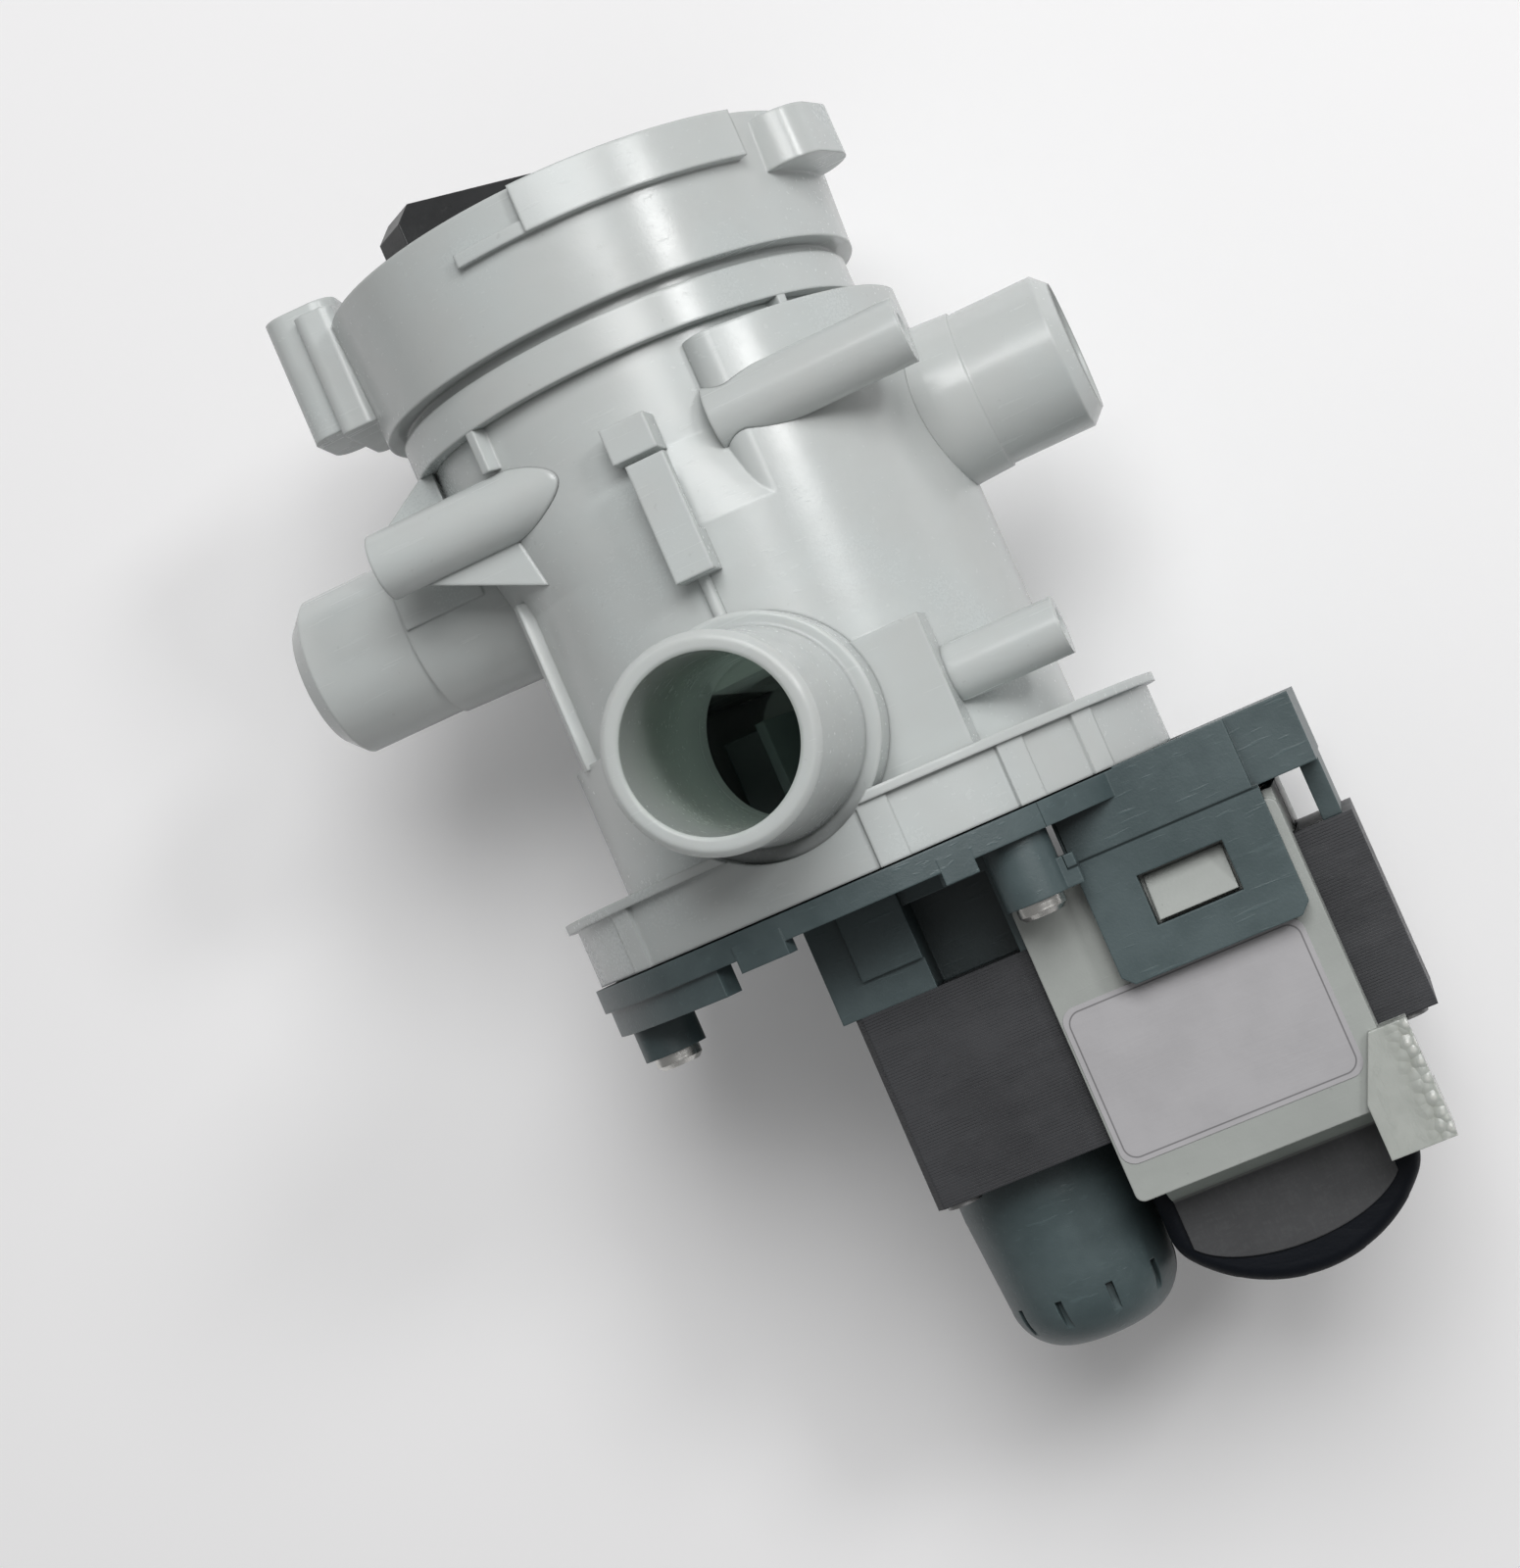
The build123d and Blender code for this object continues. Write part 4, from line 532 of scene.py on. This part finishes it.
class PumpFinish(bpy.types.PropertyGroup):
    """Colours of the pump's materials"""
    housing: colour("Housing", "White moulding", (0.55, 0.57, 0.56))
    housing_cool: colour("Housing, cool", "Cooler clouds in the white moulding", (0.53, 0.565, 0.56))
    bracket: colour("Bracket", "Dark green-grey moulding", (0.068, 0.098, 0.103))
    bracket_worn: colour("Bracket, worn", "Rubbed areas of the dark moulding", (0.083, 0.114, 0.119))
    # Colour of the darker patches inside the outlet's bore.
    scale: colour("Scale", "Film inside the outlet", (0.40, 0.47, 0.42))
    # Painted light: colour of the glow on the bore wall that stands in for light coming through it.
    painted_glow: colour("Passed light", "Light that comes through the outlet's wall", (0.031, 0.040, 0.036))
    core: colour("Core", "Varnish on the laminations", (0.042, 0.043, 0.047))
    rust: colour("Rust", "Specks of rust on the laminations", (0.10, 0.065, 0.045))
    former: colour("Coil formers", "Cream moulding of the coils", (0.38, 0.40, 0.38))
    label: colour("Label", "Bare film on the front coil", (0.44, 0.432, 0.445))
    tape: colour("Tape", "Black tape round the coil ends", (0.003, 0.0045, 0.008))
    tape_dust: colour("Dust", "Dust on the tape", (0.007, 0.009, 0.014))
    card: colour("Card", "Insulating flap", (0.066, 0.067, 0.070))
    card_strip: colour("Card strip", "Folded strip of the flap", (0.36, 0.40, 0.37))
    # Colour of the painted highlight along the fold, also used for the card's fibres.
    card_fold: colour("Card fold", "Pale line along the fold", (0.24, 0.25, 0.24))
    socket: colour("Terminal block", "Translucent plastic", (0.46, 0.48, 0.45))
    lump: colour("Lumps", "Raised lumps on the terminal block", (0.80, 0.80, 0.76))
    # Colour of the painted shade in the hollows between the lumps.
    painted_lump_shade: colour("Between lumps", "Hollows between the lumps", (0.24, 0.25, 0.20))
    cap: colour("Filter cap", "Black cap and handle", (0.022, 0.023, 0.024))
    basket: colour("Lint basket", "Grey basket", (0.45, 0.46, 0.45))
    rotor: colour("Rotor plastic", "Sleeve, dog and impeller", (0.24, 0.30, 0.29))
    screw: colour("Screws", "Zinc plating", (0.72, 0.71, 0.68))
    steel: colour("Steel", "Shaft and rivets", (0.56, 0.56, 0.56))
    tab: colour("Tabs", "Tinned brass", (0.70, 0.66, 0.56))
    copper: colour("Wire", "Enamelled copper", (0.62, 0.27, 0.13))
    bronze: colour("Bushes", "Sintered bronze", (0.42, 0.27, 0.14))
    magnet: colour("Magnet", "Ferrite", (0.045, 0.045, 0.05))
    rubber: colour("Rubber", "Seals and bearing holder", (0.018, 0.018, 0.018))
    washer: colour("Washers", "Natural nylon", (0.60, 0.57, 0.46))
    cutout: colour("Thermal cut-out", "Moulded case", (0.30, 0.05, 0.03))


class PumpDetail(bpy.types.PropertyGroup):
    """Small sizes that the finishes and the made pieces use"""
    moulding_edge: length("Moulding edge", "Radius that large mouldings show at their edges", 0.0004)
    housing_edge: length("Housing edge", "Radius that the white moulding shows at its edges", 0.0007)
    outlet_edge: length("Outlet edge", "Radius that the outlet shows at its rim and foot", 0.0012)
    recess: length("Recess", "How far apart faces close in the motor's dark recesses", 0.012)
    # Reach of the painted shade in the housing's grooves and corners.
    groove: length("Groove", "How far apart faces close in the housing's dusty grooves", 0.004)
    small_edge: length("Small edge", "Radius at the edges of small mouldings", 0.0004)
    ledge_drop: length("Ledge", "From the joint down to the ledge above the latch", 0.0124)
    ledge_middle: length("Ledge middle", "From the rotor's axis to the latch's middle", 0.0445)
    ledge_half: length("Ledge half", "Half width of the latch", 0.0157)
    ledge_front: length("Ledge front", "From the rotor's axis to where the latch's face starts", 0.0312)
    lump: length("Lump", "Size of a lump on the terminal block", 0.0017)
    lump_reach: length("Lumps' reach", "How far the lumps go in from the terminal block's edge", 0.0055)
    outlet_bore: length("Outlet bore", "Radius of the outlet's bore", 0.0134)
    outlet_depth: length("Outlet depth", "How deep light goes into the outlet's wall", 0.006)
    core_edge: length("Core edge", "Radius at the edges of the varnished core", 0.0005)
    film_edge: length("Film edge", "Radius at the label's edge", 0.0001)
    label_margin: length("Label margin", "From the label's edge to its thin line", 0.0009)
    label_corner: length("Label corner", "Radius at the corners of the thin line", 0.0022)
    label_line: length("Label line", "Half width of the thin line", 0.00018)
    parting_line: length("Parting line", "Half width of the housing's parting line", 0.0002)
    lamination: length("Lamination", "Thickness of one sheet of the core", 0.0005)
    wire: length("Wire", "Diameter of the winding's wire", 0.0003)
    tape_width: length("Tape width", "Width of the tape round the coil ends", 0.011)
    tape_step: length("Tape step", "Height of one overlap of the tape", 0.00015)
    tape_edge: length("Bundle edge", "Radius of the taped bundle's edges", 0.0025)
    arc_share: FloatProperty(name="Arc share", default=0.5, min=0.1, max=1.0,
                             description="Share of the bundle's length that is its round end")
    card_wall: length("Card", "Thickness of the insulating card", 0.0005)
    card_fold: length("Card fold", "Height of the flap's folded strip", 0.0035)
    grid: IntProperty(name="Grid", description="Points along the longer way of a made surface", default=220,
                      min=20)


class PumpStage(bpy.types.PropertyGroup):
    """Camera, floor and lights"""
    floor: colour("Floor", "Pale table top", (0.90, 0.895, 0.90))
    floor_size: length("Floor size", "Side of the floor", 6.0)
    floor_clear: length("Clear floor", "How far from the pump the floor keeps its own colour", 0.3)
    backdrop: colour("Backdrop", "Surround that the camera sees", (0.90, 0.895, 0.90))
    floor_glow: FloatProperty(name="Floor glow", description="Light added to the floor that the camera sees",
                              default=0.07, min=0.0)
    camera_place: FloatVectorProperty(name="Camera place", description="Where the camera stands",
                                      default=(0.0837, -0.0193, 0.5149), unit="LENGTH", size=3)
    camera_target: FloatVectorProperty(name="Camera target", description="Point in the picture's middle",
                                       default=(-0.0131, -0.0007, 0.0544), unit="LENGTH", size=3)
    camera_roll: FloatProperty(name="Camera roll", description="Turn about the line of sight",
                               default=radians(23.56), unit="ROTATION")
    camera_focal: FloatProperty(name="Focal length", description="For a 36 mm sensor on the long side",
                                default=62.6, min=1.0, subtype="DISTANCE_CAMERA")
    key_power: FloatProperty(name="Key light", description="Power of the large soft light", default=15.2,
                             min=0.0, unit="POWER")
    key_size: length("Key size", "Side of the large soft light", 0.85)
    key_distance: length("Key distance", "From the pump to the lights", 1.5)
    key_turn: FloatProperty(name="Key turn", description="Turn of the key light from +X towards +Y",
                            default=radians(60), unit="ROTATION")
    key_height: FloatProperty(name="Key height", description="Angle of the key light above the floor",
                              default=radians(58), unit="ROTATION")
    glint_power: FloatProperty(name="Glint light", description="Power of the small light", default=4.4,
                               min=0.0, unit="POWER")
    glint_size: length("Glint size", "Side of the small light", 0.26)
    glint_turn: FloatProperty(name="Glint turn", description="Turn of the small light from +X towards +Y",
                              default=radians(18.5), unit="ROTATION")
    glint_height: FloatProperty(name="Glint height", description="Angle of the small light above the floor",
                                default=radians(41.7), unit="ROTATION")
    sky: FloatProperty(name="Surround", description="Strength of the even surrounding light", default=0.23,
                       min=0.0)


class PUMP_OT_stage(bpy.types.Operator):
    """Makes the camera, the pale floor, the soft key light and the even surround"""
    bl_idname = "pump.stage"
    bl_label = "Stage"

    def execute(self, context):
        stage = context.scene.pump_stage
        self.camera(context, stage)
        self.floor(context, stage)
        self.lights(context, stage)
        context.scene.view_settings.view_transform = "Standard"
        return {"FINISHED"}

    def camera(self, context, stage):
        """Camera that looks from its place to its target, rolled about that line from +Y up."""
        data = bpy.data.cameras.new("photo_camera")
        data.lens = stage.camera_focal
        data.sensor_width = 36.0
        data.clip_start = 0.02
        data.clip_end = 50.0
        camera = bpy.data.objects.new("photo_camera", data)
        context.scene.collection.objects.link(camera)
        ahead = (Vector(stage.camera_target) - Vector(stage.camera_place)).normalized()
        side = ahead.cross(Vector((0, 1, 0))).normalized()
        top = side.cross(ahead)
        turned_side = side * cos(stage.camera_roll) - top * sin(stage.camera_roll)
        turned_top = side * sin(stage.camera_roll) + top * cos(stage.camera_roll)
        basis = Matrix((turned_side, turned_top, -ahead)).transposed()
        camera.matrix_world = Matrix.Translation(Vector(stage.camera_place)) @ basis.to_4x4()
        context.scene.camera = camera

    def floor(self, context, stage):
        """Flat square at the pump's lowest height."""
        half = stage.floor_size / 2
        across = np.linspace(-half, half, 3)
        x, y = np.meshgrid(across, across, indexing="ij")
        points = np.stack((x, y, np.full_like(x, CAD_BOX[0].z)), axis=-1)
        mesh = surface_mesh("floor", points[:, ::-1])
        mesh.materials.append(floor_material(stage))
        floor = bpy.data.objects.new("floor", mesh)
        context.scene.collection.objects.link(floor)

    def lights(self, context, stage):
        """A large square lamp and a small one for highlights, both aimed at the pump, and an even world that
        looks white to the camera."""
        self.lamp(context, "key", stage.key_power, stage.key_size, stage.key_turn, stage.key_height,
                  stage.key_distance)
        self.lamp(context, "glint", stage.glint_power, stage.glint_size, stage.glint_turn, stage.glint_height,
                  stage.key_distance)
        world = bpy.data.worlds.new("surround")
        world.use_nodes = True
        tree = world.node_tree
        tree.nodes["Background"].inputs["Color"].default_value = (1, 1, 1, 1)
        tree.nodes["Background"].inputs["Strength"].default_value = stage.sky
        seen = tree.nodes.new("ShaderNodeBackground")
        seen.inputs["Color"].default_value = (*stage.backdrop, 1)
        path = tree.nodes.new("ShaderNodeLightPath")
        blend = tree.nodes.new("ShaderNodeMixShader")
        tree.links.new(path.outputs["Is Camera Ray"], blend.inputs[0])
        tree.links.new(tree.nodes["Background"].outputs[0], blend.inputs[1])
        tree.links.new(seen.outputs[0], blend.inputs[2])
        tree.links.new(blend.outputs[0], tree.nodes["World Output"].inputs["Surface"])
        context.scene.world = world

    def lamp(self, context, name, power, size, turn, height, distance):
        """Square lamp at a turn from +X towards +Y and an angle above the floor."""
        centre = (CAD_BOX[0] + CAD_BOX[1]) / 2
        towards = Vector((cos(turn) * cos(height), sin(turn) * cos(height), sin(height)))
        data = bpy.data.lights.new(name, "AREA")
        data.energy = power
        data.size = size
        lamp = bpy.data.objects.new(name, data)
        lamp.location = centre + towards * distance
        lamp.rotation_euler = towards.to_track_quat("Z", "Y").to_euler()
        context.scene.collection.objects.link(lamp)


class PUMP_OT_housing(bpy.types.Operator):
    """Finishes the white housing and its seal"""
    bl_idname = "pump.housing"
    bl_label = "Housing"

    def execute(self, context):
        finish, detail = context.scene.pump_finish, context.scene.pump_detail
        dress(housing_material(finish, detail), *HOUSING)
        low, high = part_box("outlet_tube")
        tube = ((low.x + high.x) / 2, (low.y + high.y) / 2, detail.outlet_bore, high.z)
        dress(housing_material(finish, detail, "outlet_white", tube), "outlet_tube", "impeller_chamber")
        dress(rubber_material(finish), "housing_seal", "cap_seal", "shaft_seal", "bearing_holder")
        return {"FINISHED"}


class PUMP_OT_bracket(bpy.types.Operator):
    """Finishes the dark motor bracket and the screws that hold it"""
    bl_idname = "pump.bracket"
    bl_label = "Motor bracket"

    def execute(self, context):
        finish, detail = context.scene.pump_finish, context.scene.pump_detail
        dress(bracket_material(finish, detail), "motor_bracket", "rotor_can")
        dress(metal("zinc_plate", tuple(finish.screw), 0.16), "flange_screws")
        return {"FINISHED"}


class PUMP_OT_core(bpy.types.Operator):
    """Finishes the laminated core and its rivets"""
    bl_idname = "pump.core"
    bl_label = "Stator core"

    def execute(self, context):
        finish, detail = context.scene.pump_finish, context.scene.pump_detail
        dress(core_material(finish, detail), "stator_core")
        dress(metal("rivet_steel", shade(tuple(finish.steel), 0.6), 0.32), "core_rivets")
        return {"FINISHED"}


class PUMP_OT_coils(bpy.types.Operator):
    """Finishes the coil formers, the windings, the label and the thermal cut-out"""
    bl_idname = "pump.coils"
    bl_label = "Coils"

    def execute(self, context):
        finish, detail = context.scene.pump_finish, context.scene.pump_detail
        former = moulded("former_cream", tuple(finish.former), 0.42, detail.moulding_edge, worn=1.1)
        dress(former, "front_bobbin", "rear_bobbin")
        dress(copper_material(finish, detail), "front_winding", "rear_winding")
        dress(label_material(finish, detail), "rating_label")
        dress(moulded("cutout_case", tuple(finish.cutout), 0.35, detail.small_edge), "thermal_cutout")
        return {"FINISHED"}


class PUMP_OT_coil_ends(bpy.types.Operator):
    """Makes the taped bundle of the coil ends and the card flap in front of it"""
    bl_idname = "pump.coil_ends"
    bl_label = "Coil ends"
    # Shares of the way from the rim's middle to a face's middle: the straight wall, then the quarter circle.
    wall_share = 0.4
    bend_share = 0.3
    # Low sines on the bundle, in radians: over that way, and to the metre along the outline.
    wave_across = 5
    wave_along = 90
    # Bow of the card's cut edge, and hollow of its folded strip, where 1 is straight.
    cut_bow = 0.86
    fold_hollow = 0.7

    def execute(self, context):
        finish, detail = context.scene.pump_finish, context.scene.pump_detail
        bundle = add_piece("taped_bundle", self.bundle(detail), tape_material(finish), "pump_body")
        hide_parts("coil_end_wrap")
        card = card_material(finish, detail)
        flap = add_piece("card_flap", self.flap(detail), card, "pump_body")
        wall = flap.modifiers.new("wall", "SOLIDIFY")
        wall.thickness = detail.card_wall
        wall.offset = -1.0
        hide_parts("insulating_flap")
        return {"FINISHED"}

    def outline(self, detail, low, high):
        """Closed outline (x, y) of the bundle, spaced evenly: two straight sides and a straight top joined by
        a circle's arc through three points below, its corners softened by a running mean."""
        crown = high.y - low.y
        chord = high.x - low.x
        drop = crown * detail.arc_share
        radius = (chord * chord / 4 + drop * drop) / (2 * drop)
        half = np.arcsin(chord / 2 / radius)
        swing = np.linspace(-half, half, detail.grid)
        middle = (low.x + high.x) / 2
        arc = np.stack((middle + radius * np.sin(swing), low.y + radius - radius * np.cos(swing)), axis=1)
        corners = np.array(((high.x, high.y), (low.x, high.y), arc[0]))
        path = np.concatenate((arc, corners))
        walked = np.concatenate(((0.0,), np.cumsum(np.hypot(*np.diff(path, axis=0).T))))
        even = np.linspace(0, walked[-1], detail.grid, endpoint=False)
        ring = np.stack([np.interp(even, walked, path[:, axis]) for axis in (0, 1)], axis=1)
        window = max(1, round(detail.tape_edge / walked[-1] * detail.grid))
        return np.mean([np.roll(ring, shift, axis=0) for shift in range(-window, window + 1)], axis=0), even

    def bundle(self, detail):
        """Closed cushion over the CAD bundle. Across, the wall is straight, turns a quarter circle and closes
        to a point in the middle of each face; each row is the outline drawn in by the quarter circle.
        Overlaps of the tape lift it by a small step once in each tape width, and low sines make it a little
        lumpy."""
        low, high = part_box("coil_end_wrap")
        (outline, walked), half = self.outline(detail, low, high), (high.z - low.z) / 2
        edge = detail.tape_edge
        across = np.linspace(-1, 1, detail.grid)[:, None]
        turn, rim = self.wall_share, self.wall_share + self.bend_share
        wall = np.clip(np.abs(across) / turn, 0, 1)
        bend = np.clip((np.abs(across) - turn) / self.bend_share, 0, 1) * pi / 2
        face = np.clip((np.abs(across) - rim) / (1 - rim), 0, 1)
        centre = outline.mean(axis=0)
        out = outline - centre
        reach = np.hypot(out[:, 0], out[:, 1])[None, :]
        step = (walked / detail.tape_width) % 1.0
        waves = np.sin(self.wave_across * across + walked[None, :] * self.wave_along)
        lumps = detail.tape_step * (step[None, :] * 0.5 - 1.0 + 0.5 * waves)
        size = (1 - (edge * (1 - np.cos(bend)) - lumps) / reach) * (1 - face)
        points = np.empty((across.size, len(outline), 3))
        points[..., 0] = centre[0] + out[None, :, 0] * size
        points[..., 1] = centre[1] + out[None, :, 1] * size
        points[..., 2] = (low.z + high.z) / 2 + np.sign(across) * ((half - edge) * wall + edge * np.sin(bend))
        return surface_mesh("taped_bundle", points, closed=True)

    def flap(self, detail):
        """Card with a straight fold: across, x runs from side to side; down, the strip above the fold leans
        out to the former's edge, and below it the card lies flat up to its cut edge, an arc of an ellipse."""
        low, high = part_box("insulating_flap")
        across = np.linspace(-1, 1, detail.grid)[:, None]
        down = np.linspace(0, 1, detail.grid // 3)[None, :]
        middle_x, half_x = (low.x + high.x) / 2, (high.x - low.x) / 2
        reach = high.y - low.y
        cut = reach * (0.5 + 0.5 * np.sqrt(np.clip(1 - self.cut_bow * across ** 2, 0, 1)))
        fallen = down * cut
        folded = np.clip(1 - fallen / detail.card_fold, 0, 1)
        points = np.empty((across.size, down.size, 3))
        points[..., 0] = middle_x + half_x * across
        points[..., 1] = high.y - fallen
        lean = (high.z - low.z - detail.card_wall) * folded ** self.fold_hollow
        points[..., 2] = low.z + detail.card_wall + lean
        return surface_mesh("card_flap", points)


class PUMP_OT_terminals(bpy.types.Operator):
    """Finishes the terminal block and its tabs"""
    bl_idname = "pump.terminals"
    bl_label = "Terminals"

    def execute(self, context):
        finish, detail = context.scene.pump_finish, context.scene.pump_detail
        dress(socket_material(finish, detail), "terminal_block")
        dress(metal("tinned_brass", tuple(finish.tab), 0.2), "terminal_tabs")
        return {"FINISHED"}


class PUMP_OT_rotor(bpy.types.Operator):
    """Finishes the rotor, its shaft, bearings and washers, and the impeller"""
    bl_idname = "pump.rotor"
    bl_label = "Rotor and impeller"

    def execute(self, context):
        finish, detail = context.scene.pump_finish, context.scene.pump_detail
        dress(magnet_material(finish), "rotor_magnet")
        plastic = moulded("rotor_grey", tuple(finish.rotor), 0.4, detail.small_edge)
        dress(plastic, "rotor_sleeve", "drive_dog", "impeller")
        dress(metal("shaft_steel", tuple(finish.steel), 0.15, 0.0003), "rotor_shaft")
        dress(bronze_material(finish), "front_bearing", "rear_bearing")
        dress(moulded("washer_nylon", tuple(finish.washer), 0.35, detail.film_edge), "thrust_washers")
        return {"FINISHED"}


class PUMP_OT_filter(bpy.types.Operator):
    """Finishes the filter cap and the lint basket"""
    bl_idname = "pump.filter"
    bl_label = "Filter"

    def execute(self, context):
        finish, detail = context.scene.pump_finish, context.scene.pump_detail
        dress(moulded("cap_black", tuple(finish.cap), 0.38, detail.moulding_edge, worn=2.2, streak=0.12),
              "filter_cap")
        dress(moulded("basket_grey", tuple(finish.basket), 0.4, detail.small_edge), "lint_basket")
        return {"FINISHED"}


class PUMP_PT_panel(bpy.types.Panel):
    """Lists the pump's operators and settings"""
    bl_idname = "PUMP_PT_panel"
    bl_label = "Washer drain pump"
    bl_space_type = "VIEW_3D"
    bl_region_type = "UI"
    bl_category = "Pump"

    def draw(self, context):
        for operator in OPERATORS:
            self.layout.operator(operator.bl_idname)
        for group in ("pump_finish", "pump_detail", "pump_stage"):
            settings = getattr(context.scene, group)
            box = self.layout.box()
            box.label(text=group.replace("_", " ").capitalize())
            for key in settings.__annotations__:
                box.prop(settings, key)


GROUPS = (("pump_finish", PumpFinish), ("pump_detail", PumpDetail), ("pump_stage", PumpStage))
OPERATORS = (PUMP_OT_stage, PUMP_OT_housing, PUMP_OT_bracket, PUMP_OT_core, PUMP_OT_coils, PUMP_OT_coil_ends,
             PUMP_OT_terminals, PUMP_OT_rotor, PUMP_OT_filter)


def register():
    for name, group in GROUPS:
        bpy.utils.register_class(group)
        setattr(bpy.types.Scene, name, PointerProperty(type=group))
    for made in (*OPERATORS, PUMP_PT_panel):
        bpy.utils.register_class(made)


def unregister():
    for made in (PUMP_PT_panel, *reversed(OPERATORS)):
        bpy.utils.unregister_class(made)
    for name, group in reversed(GROUPS):
        delattr(bpy.types.Scene, name)
        bpy.utils.unregister_class(group)


def main():
    register()
    for operator in OPERATORS:
        area, action = operator.bl_idname.split(".")
        if getattr(getattr(bpy.ops, area), action)() != {"FINISHED"}:
            raise RuntimeError(operator.bl_label + " did not finish")


if __name__ == "__main__":
    main()
